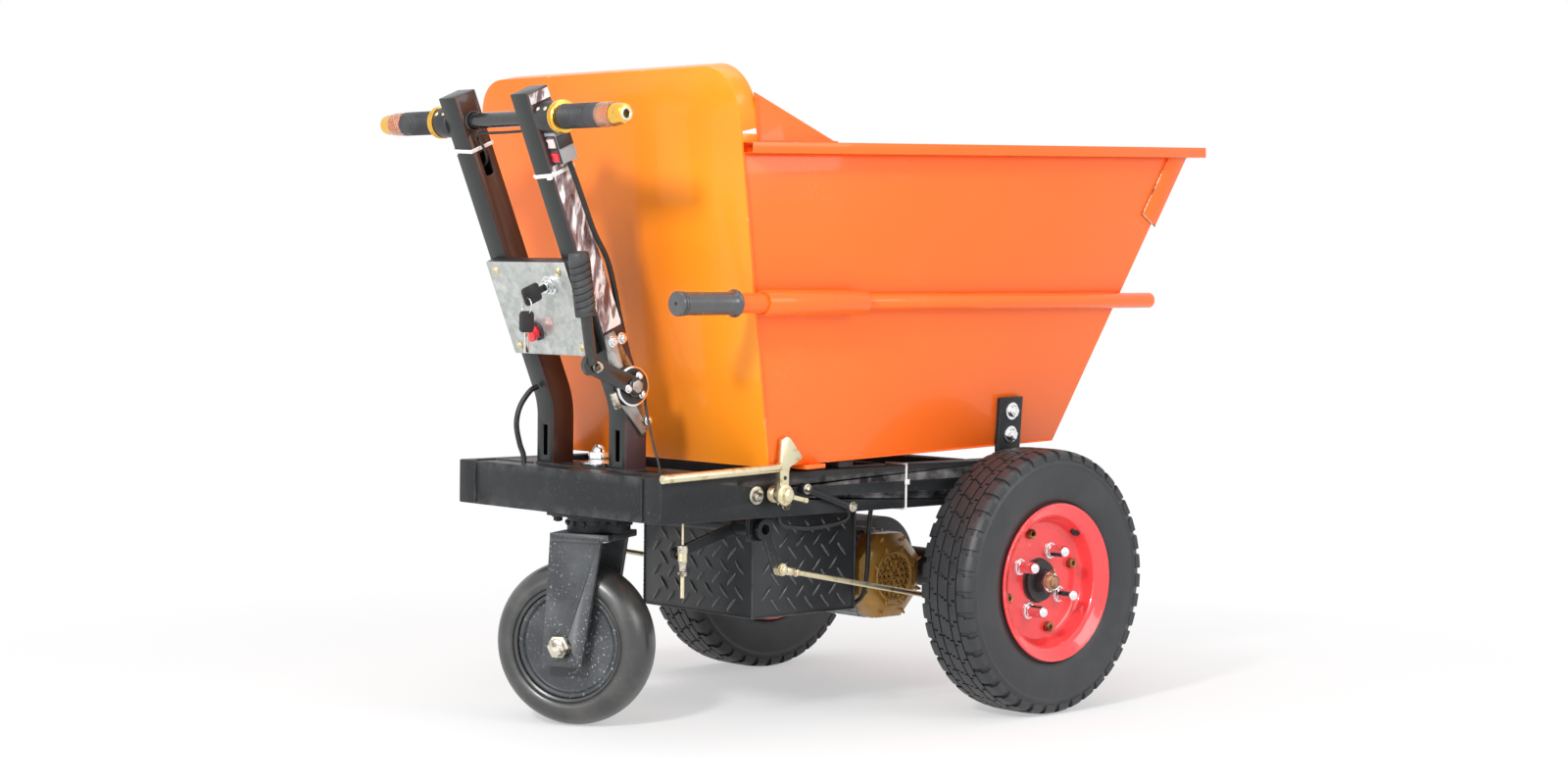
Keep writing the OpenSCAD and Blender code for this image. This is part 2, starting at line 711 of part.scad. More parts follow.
// The brake arms repeat the shaft levers, so that the rods move parallel to themselves
cam_place = [-55, 215];
cam_r = 7;
module brake_rods() color("#d2ccb2") pair() {
    tail = [-cross_back, cross_z] + link_fall;
    head = cam_place + link_fall;
    difference() {
        union() {
            for (p = [tail, head]) translate([p[0], 0, p[1]]) rod_y(eye_r, [rod_y0, rod_y1]);
            rod([tail[0], (rod_y0 + rod_y1) / 2, tail[1]], [head[0], (rod_y0 + rod_y1) / 2, head[1]], pull_r);
        }
        for (p = [tail, head]) translate([p[0], 0, p[1]]) rod_y(pin_r + run, [rod_y0 - over, rod_y1 + over]);
    }
}
back_plate_gap = 10;
brake_plate_in = track / 2 - tyre_w / 2 - back_plate_gap;
module brake_arms() color("#26282a") pair() translate([cam_place[0], 0, cam_place[1]]) {
    arm_in = rod_y1 + free;
    plate_y([arm_in, arm_in + link_t]) lever_arm(link_fall);
    translate([link_fall[0], 0, link_fall[1]]) rod_y(pin_r, [rod_y0 - 3 * free, arm_in + link_t / 2]);
    rod_y(cam_r, [arm_in + link_t / 2, brake_plate_in + link_t]);
}
saddle_w = 90;
saddle_t = 10;
saddle_step = 4;
saddle_y = rail_in + saddle_step;
saddle_fall = 34;
back_plate_r = 74;
hanger_w = 44;
stay_r = 5;
stay_boss_r = 8;
stay_gap = 6;
stay_y = frame_half + stay_gap;
// Ends of the stay, as shares of the frame's rear reach and of the rail's height
stay_shares = [[0.608, 0.61], [0.472, 0.14]];
stay_ends = [for (s = stay_shares) [-s[0] * frame_back, rail_under + s[1] * rail_h]];
module frame_brackets() color("#1c1e20") {
    pair() {
        // Saddles that carry the axle housing
        difference() {
            block([-saddle_w / 2, saddle_w / 2], [saddle_y, saddle_y + saddle_t],
                [tyre_r - saddle_fall, rail_under]);
            translate([0, 0, tyre_r])
                rod_y(housing_r + seat, [saddle_y - over, saddle_y + saddle_t + over]);
        }
        // Hangers of the brake cross shaft
        difference() {
            block([-cross_back - hanger_w / 2, -cross_back + hanger_w / 2], [hanger_y, hanger_y + link_t],
                [cross_z - cross_r - link_t, rail_under]);
            cross_place() rod_y(cross_r + run, [hanger_y - over, hanger_y + link_t + over]);
        }
        // Backing plates of the drum brakes
        difference() {
            translate([0, 0, tyre_r]) rod_y(back_plate_r, [brake_plate_in, brake_plate_in + rim_t]);
            translate([0, 0, tyre_r])
                rod_y(housing_r + seat, [brake_plate_in - over, brake_plate_in + rim_t + over]);
            translate([cam_place[0], 0, cam_place[1]])
                rod_y(cam_r + run, [brake_plate_in - over, brake_plate_in + rim_t + over]);
        }
    }
    // Stay on the right rail's outer face
    mirror([0, 1, 0]) {
        for (p = stay_ends)
            translate([p[0], 0, p[1]]) rod_y(stay_boss_r, [frame_half, stay_y + stay_r + over]);
        rod([stay_ends[0][0], stay_y, stay_ends[0][1]], [stay_ends[1][0], stay_y, stay_ends[1][1]], stay_r);
    }
}

// Battery box and drive
battery_top = rail_under;
battery_low = battery_top - battery_h;
battery_x = [-battery_back, battery_len - battery_back];
module battery_box() color("#232628") difference() {
    block(battery_x, [-battery_w / 2, battery_w / 2], [battery_low, battery_top - battery_wall]);
    block([battery_x[0] + battery_wall, battery_x[1] - battery_wall],
        [battery_wall - battery_w / 2, battery_w / 2 - battery_wall],
        [battery_low + battery_wall, battery_top + over]);
}
module battery_lid() color("#232628")
    block(battery_x, [-battery_w / 2, battery_w / 2], [battery_top - battery_wall, battery_top]);
cell_gap = 2;
cell_rows = 2;
controller_w = 46;
module batteries_and_controller() color("#34383c") {
    x0 = battery_x[0] + battery_wall + seat;
    x1 = battery_x[1] - battery_wall - seat;
    y0 = battery_wall + seat - battery_w / 2;
    y1 = battery_w / 2 - battery_wall - seat - controller_w - cell_gap;
    step_x = (x1 - x0 + cell_gap) / cell_rows;
    step_y = (y1 - y0 + cell_gap) / cell_rows;
    z = [battery_low + battery_wall, battery_top - 4 * battery_wall];
    for (i = [0:cell_rows - 1]) for (k = [0:cell_rows - 1])
        block([x0 + i * step_x, x0 + (i + 1) * step_x - cell_gap],
            [y0 + k * step_y, y0 + (k + 1) * step_y - cell_gap], z);
    block([x0, x1], [y1 + cell_gap, y1 + cell_gap + controller_w], z);
}
motor_side = 80;
motor_y = [-motor_side, motor_len - motor_side];
motor_drop = 4;
motor_z = tyre_r - motor_drop;
cover_len = 42;
fin_count = 24;
fin_w = 4;
fin_h = 4;
module motor_place() { translate([-motor_back, 0, motor_z]) children(); }
module motor() color("#9a9c9b") motor_place() {
    rod_y(motor_r - fin_h, motor_y);
    // Cooling ribs
    for (i = [0:fin_count - 1]) rotate([0, i * 360 / fin_count, 0])
        block([motor_r - 2 * fin_h, motor_r], [motor_y[0] + fin_h, motor_y[1]], [-fin_w / 2, fin_w / 2]);
}
cover_sides = 8;
cover_t = 3;
face_share = 0.7;
hole_rows = 3;
vent_r = 2.4;
vent_step = 10;
module cover_body(inset) {
    // Octagonal dome, wide at the motor and narrower at its face
    rotate([90, 0, 0]) rotate(180 / cover_sides) {
        cylinder(r = motor_r - inset, h = cover_len * face_share - inset, $fn = cover_sides);
        translate([0, 0, cover_len * face_share - inset])
            cylinder(r1 = motor_r - inset, r2 = motor_r * face_share - inset, h = cover_len * (1 - face_share),
                $fn = cover_sides);
    }
}
module motor_fan_cover() color("#a9741f") motor_place() translate([0, motor_y[0], 0]) difference() {
    cover_body(0);
    translate([0, over, 0]) cover_body(cover_t);
    // Vent holes in rings around the middle
    for (k = [1:hole_rows]) for (i = [0:6 * k - 1])
        rotate([0, i * 60 / k, 0]) translate([k * vent_step, 0, 0])
            rod_y(vent_r, [-cover_len - over, -cover_len / 2]);
}
case_len = 70;
case_y = [motor_y[1], motor_y[1] + case_len];
case_r = 72;
housing_end = brake_plate_in + rim_t;
module axle_housing() color("#6d7072") difference() {
    union() {
        translate([0, 0, tyre_r]) rod_y(housing_r, [-housing_end, housing_end]);
        // Gear case that joins the motor to the axle
        translate([0, 0, tyre_r]) rod_y(case_r, case_y);
        motor_place() rod_y(case_r, case_y);
        block([-motor_back, 0], case_y, [motor_z - case_r, tyre_r + case_r - motor_drop]);
    }
    translate([0, 0, tyre_r]) pair() rod_y(shaft_r + run, [case_y[1] + case_r / 3, housing_end + over]);
}

// Drive wheels, in the frame of the left wheel: y counted outwards from the middle of the tyre
seat_r = rim_r - flange_h;
tyre_half = tyre_w / 2;
disc_y = tyre_half - dish_depth;
module wheel(side) { mirror([0, side, 0]) translate([0, track / 2, tyre_r]) children(); }
// Radius and width of the bead inside the flange, as shares of the flange's height and the tyre's half width
bead_shares = [[0, 0.61], [0.58, 0.77], [1.16, 0.87]];
// Radius and width from there to the tread, as shares of the rest of the tyre's height and its half width
wall_shares = [[0.15, 0.95], [0.35, 1], [0.575, 0.99], [0.775, 0.94], [0.912, 0.88], [0.968, 0.76], [0.99, 0.44],
    [1, 0.2]];
groove_shares = [-0.36, 0.36];
groove_w = 5;
notch_w = 9;
notch_share = 0.5;
module drive_tyre() {
    bead = [for (s = bead_shares) [seat_r + seat + s[0] * flange_h, s[1] * tyre_half]];
    wall_r = bead[len(bead) - 1][0];
    outer = concat(bead, [for (s = wall_shares) [wall_r + s[0] * (tyre_r - wall_r), s[1] * tyre_half]]);
    inner = [for (i = [len(outer) - 1:-1:0]) [outer[i][0], -outer[i][1]]];
    difference() {
        turned_y() difference() {
            polygon(concat(outer, inner));
            for (g = groove_shares) translate([tyre_r - tread_depth, g * tyre_half - groove_w / 2])
                square([2 * tread_depth, groove_w]);
        }
        // Gaps between the shoulder blocks, staggered from one side to the other
        for (i = [0:tread_count - 1]) for (s = [-1, 1])
            rotate([0, (i + s / 4) * 360 / tread_count, 0])
                block([tyre_r - tread_depth, tyre_r + over],
                    s > 0 ? [notch_share * tyre_half, tyre_w] : [-tyre_w, -notch_share * tyre_half],
                    [-notch_w / 2, notch_w / 2]);
    }
}
module left_tyre() color("#2b2c2e") wheel(0) drive_tyre();
module right_tyre() color("#2b2c2e") wheel(1) drive_tyre();
// Section of the outer half rim: share of the way from the disc's edge to the flange, and of the dish's depth
dish_shares = [[0, 0], [0.22, 0.1], [0.38, 0.34], [0.46, 0.7], [0.68, 0.87], [1, 1]];
valve_r = 6;
valve_circle_r = 95;
split_circle_r = 75;
split_r = 4;
lug_r = 7;
lug_turn = 62;
rim_skew_share = 0.6;
module half_rim(depth) {
    near = [for (s = dish_shares) [disc_r + s[0] * (rim_r - disc_r), s[1] * depth]];
    far = [for (i = [len(near) - 1:-1:0]) near[i] + [rim_t * rim_skew_share, -rim_t]];
    polygon(concat([[disc_hole_r, 0]], near, far, [[disc_hole_r, -rim_t]]));
}
module at_circle(r, a) { rotate([0, -a, 0]) translate([r, 0, 0]) children(); }
module split_rim() difference() {
    turned_y() {
        translate([0, disc_y]) half_rim(dish_depth);
        translate([0, disc_y - rim_t]) mirror([0, 1]) translate([0, rim_t])
            half_rim(tyre_w - dish_depth - 2 * rim_t);
    }
    for (i = [0:3]) {
        at_circle(nut_circle_r, lug_turn + 90 * i) rod_y(lug_r, [-tyre_w, tyre_w]);
        at_circle(split_circle_r, lug_turn + 45 + 90 * i) rod_y(split_r, [-tyre_w, tyre_w]);
    }
    at_circle(valve_circle_r, lug_turn - 14) rod_y(valve_r, [disc_y, tyre_w]);
}
module left_rim() color("#d9343d") wheel(0) split_rim();
module right_rim() color("#d9343d") wheel(1) split_rim();
disc_back = disc_y - 2 * rim_t;
hub_r = 31;
hub_flange_r = 64;
hub_flange = 8;
drum_r = 78;
drum_wall = 6;
drum_gap = 3;
drum_mouth = brake_plate_in + rim_t + drum_gap - track / 2;
shaft_start = 152;
shaft_in = shaft_start - track / 2;
nose = 8;
castle_r = 19;
castle_h = 16;
tip_r = 10;
tip_len = 34;
module hub() {
    turned_y() {
        // Drive shaft, hub boss, flange behind the disc and brake drum
        translate([0, shaft_in]) square([shaft_r, disc_y - shaft_in]);
        translate([0, disc_back - hub_flange]) square([hub_r, disc_y + nose - disc_back + hub_flange]);
        translate([0, disc_back - hub_flange]) square([hub_flange_r, hub_flange]);
        translate([0, disc_back - hub_flange]) square([drum_r, hub_flange / 2]);
        translate([drum_r - drum_wall, drum_mouth])
            square([drum_wall, disc_back - drum_mouth - hub_flange / 2]);
        translate([0, disc_y]) square([tip_r, tip_len]);
    }
    hex_y(castle_r, [disc_y + nose, disc_y + nose + castle_h]);
}
module left_hub() color("#26282a") wheel(0) hub();
module right_hub() color("#26282a") wheel(1) hub();
nut_r = 9;
nut_base_r = 12;
nut_base = 5;
stud_hole_r = lug_r - seat;
module wheel_nuts() for (i = [0:3]) at_circle(nut_circle_r, lug_turn + 90 * i) {
    // Stud through the disc, seat and long nut with a domed end
    rod_y(stud_hole_r, [disc_back, disc_y]);
    rod_y(nut_base_r, [disc_y, disc_y + nut_base]);
    rod_y(nut_r, [disc_y + nut_base, disc_y + nut_len]);
    translate([0, disc_y + nut_len, 0]) turned_y() intersection() {
        circle(nut_r);
        square(nut_r);
    }
}
module left_wheel_nuts() color("#d5d6d8") wheel(0) wheel_nuts();
module right_wheel_nuts() color("#d5d6d8") wheel(1) wheel_nuts();

// Castor, in the frame of its stem: the wheel rolls along x and trails towards -x
bearing_h = 30;
bearing_r = 46;
bearing_flange = 8;
bearing_flange_w = 108;
fork_top = rail_under - bearing_h;
fork_under = fork_top - fork_t;
fork_plate_w = 106;
leg_gap = 5;
leg_in = castor_w / 2 + leg_gap;
module swivel_bearing() color("#1a1b1d") translate([-stem_back, 0, 0]) {
    difference() {
        union() {
            block([-bearing_flange_w / 2, bearing_flange_w / 2], [-bearing_flange_w / 2, bearing_flange_w / 2],
                [rail_under - bearing_flange, rail_under]);
            translate([0, 0, fork_top + free]) cylinder(r = bearing_r, h = bearing_h - bearing_flange - free);
        }
        translate([0, 0, fork_top - over]) cylinder(r = stem_r + run, h = bearing_h + 2 * over);
    }
}
leg_top_w = 80;
leg_low_w = 62;
leg_low = 30;
leg_share = 0.42;
leg_top_x = castor_trail * leg_share;
module castor_fork() color("#2c2f31") castor_place() {
    difference() {
        translate([-leg_top_x - leg_top_w / 2, -fork_plate_w / 2, fork_under])
            cube([leg_top_w + stem_r, fork_plate_w, fork_t]);
        translate([0, 0, fork_under - over]) cylinder(r = stem_r + seat, h = fork_t + 2 * over);
    }
    pair() difference() {
        plate_y([leg_in, leg_in + fork_t]) polygon([
            [-leg_top_x - leg_top_w / 2, fork_under], [-leg_top_x + leg_top_w / 2, fork_under],
            [-castor_trail + leg_low_w / 2, castor_r - leg_low],
            [-castor_trail - leg_low_w / 2, castor_r - leg_low]]);
        translate([-castor_trail, 0, castor_r])
            rod_y(castor_axle_r + seat, [leg_in - over, leg_in + fork_t + over]);
    }
}
washer_r = 26;
washer_t = 6;
stem_nut_r = 17;
stem_nut_h = 14;
dome_r = 11;
axle_nut_r = 17;
axle_nut_h = 13;
module castor_pins() color("#c9cbcc") {
    castor_place() {
        // Stem with its head under the fork plate, and washer, nut and dome above the deck
        translate([0, 0, fork_under - washer_t]) cylinder(r = stem_nut_r, h = washer_t);
        translate([0, 0, fork_under])
            cylinder(r = stem_r, h = rail_top + free + washer_t + stem_nut_h - fork_under);
        translate([0, 0, rail_top + free]) cylinder(r = washer_r, h = washer_t);
        translate([0, 0, rail_top + free + washer_t]) cylinder(r = stem_nut_r, h = stem_nut_h, $fn = 6);
        translate([0, 0, rail_top + free + washer_t + stem_nut_h]) rotate_extrude() intersection() {
            circle(dome_r);
            square(dome_r);
        }
        // Axle with a nut on both sides
        translate([-castor_trail, 0, castor_r]) {
            rod_y(castor_axle_r, [-leg_in - fork_t, leg_in + fork_t]);
            pair() hex_y(axle_nut_r, [leg_in + fork_t, leg_in + fork_t + axle_nut_h]);
        }
    }
}
castor_hub_r = 24;
disc_t = 50;
lip_t = 4;
lip_w = 6;
module castor_wheel_place() { castor_place() translate([-castor_trail, 0, castor_r]) children(); }
module castor_disc() color("#3a3d3f") castor_wheel_place() turned_y() {
    bore = castor_axle_r + run;
    // Disc, hub and raised outer lip
    translate([bore, -disc_t / 2]) square([castor_disc_r - bore, disc_t]);
    translate([bore, -leg_in + free]) square([castor_hub_r - bore, 2 * (leg_in - free)]);
    for (s = [-1, 1])
        translate([castor_disc_r - lip_w, s * (disc_t + lip_t) / 2 - lip_t / 2]) square([lip_w, lip_t]);
}
castor_shares = [[0, 0.86], [0.12, 0.96], [0.3, 1], [0.55, 0.98], [0.75, 0.88], [0.88, 0.72], [0.96, 0.48],
    [1, 0.14]];
module castor_tyre() color("#2a2a2c") castor_wheel_place() turned_y() {
    bead = castor_disc_r + seat;
    outer = [for (s = castor_shares) [bead + s[0] * (castor_r - bead), s[1] * castor_w / 2]];
    polygon(concat(outer, [for (i = [len(outer) - 1:-1:0]) [outer[i][0], -outer[i][1]]]));
}

// Rests, hinge pins and latch pivot on the rails
pad_back = 330;
pad_len = 30;
pad_z = hinge_z + (floor_up - (pad_back + hinge_x) * sin(tub_seat)) / cos(tub_seat) - free;
pad_edge = 5;
pad_in = rail_in + pad_edge;
pad_w = 30;
module rest_pads() color("#1b1b1c") pair()
    block([-pad_back, pad_len - pad_back], [pad_in, pad_in + pad_w], [rail_top, pad_z]);
latch_gap = 16;
latch_in = frame_half + latch_gap;
latch_z = rail_under + latch_up;
head_t = 6;
pin_head_r = 13;
latch_nut_r = 10;
bracket_face = floor_w / 2;
head_in = bracket_face + bracket_t + hinge_r / 4;
module pivot_bolts() color("#b8b39b") {
    // Hinge pins with a shoulder on the rail and a head outside the bracket
    pair() translate([hinge_x, 0, hinge_z]) {
        rod_y(hinge_r, [rail_in - head_t, bracket_face + bracket_t + hinge_r / 2]);
        hex_y(pin_head_r, [rail_in - 2 * head_t, rail_in]);
        rod_y(pin_head_r, [head_in, head_in + head_t]);
    }
    // Latch pivot
    translate([-latch_back, 0, latch_z]) mirror([0, 1, 0]) {
        rod_y(latch_bolt_r, [frame_half - rail_wall, latch_in + latch_t + free]);
        hex_y(latch_nut_r, [latch_in + latch_t + free, latch_in + latch_t + free + head_t]);
    }
}
shank_w = 20;
shank_boss_r = 12;
// Head of the pawl, as shares of its reach forward and of its height
latch_reach = 34;
latch_h = 82;
latch_shares = [[-0.18, 0.49], [0.235, 0.463], [0.94, 0.6], [1, 0.646], [0.294, 0.976], [0.09, 1],
    [-0.12, 0.951]];
latch_tail = [44, -10];
tail_w = 7;
release_near = [-8, 38];
release_far = [-223, 31];
module latch_lever() color("#d9d0a8") translate([-latch_back, 0, latch_z]) mirror([0, 1, 0]) {
    difference() {
        plate_y([latch_in, latch_in + latch_t]) {
            circle(shank_boss_r);
            strip([0, 0], [0, release_near[1]], shank_w);
            strip([0, 0], latch_tail, tail_w);
            polygon([for (s = latch_shares) [s[0] * latch_reach, s[1] * latch_h]]);
        }
        rod_y(latch_bolt_r + run, [latch_in - over, latch_in + latch_t + over]);
    }
    bar_y = latch_in + latch_t / 2;
    rod([release_near[0], bar_y, release_near[1]], [release_far[0], bar_y, release_far[1]], release_r);
}
// Torsion spring on the latch bolt
spring_wire = 1.3;
spring_clear = 5;
spring_r = latch_bolt_r + spring_clear;
spring_turns = 4;
spring_len = latch_in - frame_half - 2 * spring_wire - 2 * free;
spring_steps = 8;
spring_leg = 16;
spring_pitch = spring_len / spring_turns;
function spring_point(i) = let (a = 360 * i / spring_steps)
    [spring_r * cos(a), frame_half + spring_wire + free + spring_pitch * i / spring_steps, spring_r * sin(a)];
spring_last = spring_turns * spring_steps;
spring_path = concat([spring_point(0) + [0, 0, -spring_leg]], [for (i = [0:spring_last]) spring_point(i)],
    [spring_point(spring_last) + [0, 0, spring_leg]]);
echo(spring_gap = spring_pitch - 2 * spring_wire);
module latch_spring() color("#cdb97c") translate([-latch_back, 0, latch_z]) mirror([0, 1, 0])
    sweep(spring_path, spring_wire, 6);

// Tub, counted from the hinge axis
module wedge(inset, x, z) {
    bar_x(x) polygon([[inset - half_w(z[0]), z[0]], [half_w(z[0]) - inset, z[0]],
        [half_w(z[1]) - inset, z[1]], [inset - half_w(z[1]), z[1]]]);
}
// Layer on the left wall, from in to out of its outer face
module wall_layer(layer, x, z) {
    bar_x(x) polygon([[half_w(z[0]) + layer[0], z[0]], [half_w(z[0]) + layer[1], z[0]],
        [half_w(z[1]) + layer[1], z[1]], [half_w(z[1]) + layer[0], z[1]]]);
}
tub_x = [-2 * floor_back, 2 * floor_back];
tub_y = [0, top_w];
back_len = back_h / cos(back_angle);
edge_angle = atan((top_w - floor_w) / 2 / back_len);
module back_outline(inset) {
    low = floor_w / 2 - inset / cos(edge_angle);
    cz = back_len - corner_r;
    cy = floor_w / 2 + cz * tan(edge_angle) - corner_r / cos(edge_angle);
    r = corner_r - inset;
    side = [cy + r * cos(edge_angle), cz - r * sin(edge_angle)];
    polygon([[-low, 0], [low, 0], side, [cy, cz + r], [-cy, cz + r], [-side[0], side[1]]]);
    for (s = [-1, 1]) translate([s * cy, cz]) circle(r);
}
flange_low = rim_up / cos(back_angle) + flange_d * tan(back_angle) + 2 * sheet_t;
module back_place() {
    tub_place() translate([-floor_back, 0, floor_up]) rotate([0, -back_angle, 0]) children();
}
module rear_panel() color("#f07a26") back_place() {
    bar_x([0, sheet_t]) back_outline(0);
    // Folded flange around the part above the rim
    bar_x([sheet_t, flange_d]) intersection() {
        difference() {
            back_outline(0);
            back_outline(sheet_t);
        }
        translate([-top_w, flange_low]) square([2 * top_w, back_len]);
    }
}
module side_panels() color("#f07a26") tub_place() pair() intersection() {
    wall_layer([-sheet_t, 0], tub_x, [floor_up, wall_z]);
    plate_y(tub_y) polygon([[back_x(floor_up) + back_sheet, floor_up], [front_x(floor_up), floor_up],
        [front_x(wall_z), wall_z], [back_x(wall_z) + back_sheet, wall_z]]);
}
floor_top = floor_up + sheet_t;
module floor_panel() color("#f07a26") tub_place() intersection() {
    wedge(sheet_t, tub_x, [floor_up, floor_top]);
    plate_y([-top_w, top_w]) polygon([[back_x(floor_up) + back_sheet, floor_up],
        [front_x(floor_up) - front_sheet, floor_up], [front_x(floor_top) - front_sheet, floor_top],
        [back_x(floor_top) + back_sheet, floor_top]]);
}
lip_len = 12;
module front_panel() color("#f07a26") tub_place() intersection() {
    wedge(sheet_t, tub_x, [floor_up, wall_z]);
    lip_z = wall_z - sheet_t;
    lip_x = front_x(wall_z) + lip_len;
    plate_y([-top_w, top_w]) polygon([[front_x(floor_up) - front_sheet, floor_up],
        [front_x(floor_up), floor_up], [front_x(lip_z), lip_z], [lip_x, lip_z], [lip_x, wall_z],
        [front_x(wall_z) - front_sheet, wall_z]]);
}
rim_wall = 2;
rim_over = 18;
gusset_len = 151;
gusset_h = 68;
doubler_t = 3;
doubler_h = 109;
doubler_w = 38;
doubler_proud = 8;
catch_x = [-435, -397];
catch_t = 6;
catch_out = latch_in + latch_t;
catch_w = 40;
module tub_stiffeners() color("#f07a26") tub_place() {
    pair() {
        // Rim rail, a square tube on the wall's upper edge
        difference() {
            rim_y = half_w(wall_z) + rim_over - rim_rail_w;
            block([back_x(wall_z) + back_sheet, rim_end], [rim_y, rim_y + rim_rail_w], [wall_z, rim_z]);
            block([back_x(wall_z) + back_sheet - over, rim_end - rim_wall],
                [rim_y + rim_wall, rim_y + rim_rail_w - rim_wall], [wall_z + rim_wall, rim_z - rim_wall]);
        }
        // Gusset between the flange and the rim
        intersection() {
            wall_layer([-sheet_t, 0], tub_x, [rim_z, rim_z + gusset_h]);
            plate_y(tub_y) polygon([[flange_x(rim_z) + seat, rim_z], [flange_x(rim_z) + gusset_len, rim_z],
                [flange_x(rim_z + gusset_h) + seat, rim_z + gusset_h]]);
        }
        // Doubler on the upper front edge of the wall
        intersection() {
            wall_layer([0, doubler_t], tub_x, [floor_up, wall_z]);
            low = [front_x(wall_z - doubler_h) + doubler_proud, wall_z - doubler_h];
            high = [front_x(wall_z) + doubler_proud, wall_z];
            plate_y(tub_y) polygon([low, high, high - [doubler_w / cos(front_angle), 0],
                low + doubler_w * [-cos(front_angle), sin(front_angle)]]);
        }
    }
    // Catch under the floor's right edge, for the latch
    block(catch_x, [-catch_out, catch_w - catch_out], [floor_up - catch_t, floor_up]);
}
push_end = 305;
push_wall = 2.5;
sleeve_x = [-540, -345];
handle_x = [-695, -420];
push_grip_len = 108;
push_grip_wall = 2;
push_flange = 3.5;
push_cap = 1;
push_cap_len = 6;
push_tip = 4;
function push_z(x) = push_up - x * tan(push_slope);
function push_point(x, r) = [x, half_w(push_z(x)) + r / cos(atan(side_taper)) + seat, push_z(x)];
// Tube beside the wall, with its axis away from the wall's outer face
module push_tube(x, away, r, r_in) {
    p = push_point(x[0], away);
    q = push_point(x[1], away);
    d = (q - p) / norm(q - p);
    difference() {
        rod(p, q, r);
        rod(p - over * d, q + over * d, r_in);
    }
}
module push_bars() color("#f07a26") tub_place() mirror([0, 1, 0]) {
    // Thin tube with its end in the sleeve, sleeve with room behind that end, and handle tube in the sleeve
    p = push_point(sleeve_x[1] - over, push_r + seat);
    q = push_point(sleeve_x[1] + over, push_r + seat);
    d = (q - p) / norm(q - p);
    push_tube([sleeve_x[1] - over, push_end], push_r + seat, push_r, push_r - push_wall);
    difference() {
        push_tube(sleeve_x, sleeve_r, sleeve_r, handle_r + seat);
        rod(p - over * d, q, push_r - push_wall / 2);
    }
    push_tube(handle_x, sleeve_r, handle_r, handle_r - push_wall);
}
module push_grips() color("#3b3d40") tub_place() mirror([0, 1, 0]) {
    p = push_point(handle_x[0], sleeve_r);
    q = push_point(handle_x[1], sleeve_r);
    d = (q - p) / norm(q - p);
    r = handle_r + push_grip_wall;
    tip = p - push_tip * d;
    difference() {
        union() {
            rod(tip, tip + push_grip_len * d, r);
            rod(tip, tip + push_cap_len * d, r + push_cap);
            rod(tip + (push_grip_len - push_flange) * d, tip + push_grip_len * d, r + push_flange);
        }
        rod(p - seat * d, p + push_grip_len * d, handle_r + seat);
    }
}
module hinge_brackets() color("#1d1f20") tub_place() pair() difference() {
    intersection() {
        // Plate on the wall, bent upright below the floor
        bar_x(tub_x) polygon([[bracket_face, -bracket_w], [bracket_face + bracket_t, -bracket_w],
            [bracket_face + bracket_t, floor_up], [half_w(bracket_h) + bracket_t, bracket_h],
            [half_w(bracket_h), bracket_h], [bracket_face, floor_up]]);
        plate_y(tub_y) {
            circle(bracket_w / 2);
            translate([-bracket_w / 2, 0]) square([bracket_w, bracket_h]);
        }
    }
    rod_y(hinge_r + run, [0, top_w]);
}

// Routes of the leads: from the switch pod, from the left clamp, out of the left tube, along the handlebar,
// under the right rail, and from the right rail to the battery box
lead_r = 4;
power_r = 3.5;
thin_r = 2;
pod_route = [[-746.2, -113, 811.3], [-742.7, -113, 803], [-731, -113, 779], [-716, -112, 748], [-698, -111, 712],
    [-672, -107, 676], [-651, -98, 636], [-634, -90, 596], [-612, -84, 540], [-591, -82, 490], [-584, -82, 450],
    [-584, -82, 410], [-585, -82, 377.4]];
left_route = [[-770, 60.4, 846], [-768, 58, 838], [-763, 55, 827], [-758, 57, 816], [-755, 62, 810],
    [-754, 70, 806]];
loop_route = [[-644, 82, 490], [-656, 84, 484], [-671, 88, 462], [-676, 90, 436], [-670, 90, 408],
    [-664, 89, 392], [-663, 88, 377.8]];
bar_route = [[-782, 62.4, 852], [-782, 40, 850], [-782, -40, 850], [-782, -62.4, 852]];
rail_route = [[-437, -214, 312.3], [-437, -214, 306], [-430, -214, 299], [-408, -214, 295], [-374, -214, 292],
    [-338, -214, 294], [-306, -214, 299], [-299, -214, 306], [-299, -214, 312.3]];
box_route = [[-182, -189.3, 345], [-182, -181, 345], [-182, -167, 341], [-181, -152, 326], [-180, -140, 290],
    [-180, -136, 210], [-179, -127, 174], [-180, -113, 160], [-185, -108, 157], [-192.3, -108, 157]];
module wiring_loom() color("#141516") {
    sweep(smooth(pod_route, 2), lead_r, 8);
    sweep(smooth(left_route, 2), thin_r, 8);
    sweep(smooth(loop_route, 2), lead_r, 8);
    sweep(smooth(bar_route, 2), thin_r, 8);
    sweep(smooth(rail_route, 2), power_r, 8);
    sweep(smooth(box_route, 2), power_r, 8);
}

place() side_rails();
place() cross_members();
place() uprights();
place() handlebar();
place() bar_clamps();
place() gold_bar_fittings();
place() left_grip();
place() throttle_grip();
place() switch_pod();
place() upper_rocker();
place() lower_rocker();
place() control_panel();
place() panel_box();
place() key_switch();
place() ignition_key();
place() spare_key();
place() push_button();
place() button_collar();
place() brake_bracket();
place() brake_sheave();
place() brake_lever();
place() brake_lever_grip();
place() brake_cable();
place() brake_shaft();
place() cable_adjuster();
place() brake_rods();
place() brake_arms();
place() frame_brackets();
place() battery_box();
place() battery_lid();
place() batteries_and_controller();
place() motor();
place() motor_fan_cover();
place() axle_housing();
place() left_tyre();
place() left_rim();
place() left_hub();
place() left_wheel_nuts();
place() right_tyre();
place() right_rim();
place() right_hub();
place() right_wheel_nuts();
place() swivel_bearing();
place() castor_fork();
place() castor_pins();
place() castor_disc();
place() castor_tyre();
place() rest_pads();
place() pivot_bolts();
place() latch_lever();
place() latch_spring();
place() rear_panel();
place() side_panels();
place() floor_panel();
place() front_panel();
place() tub_stiffeners();
place() push_bars();
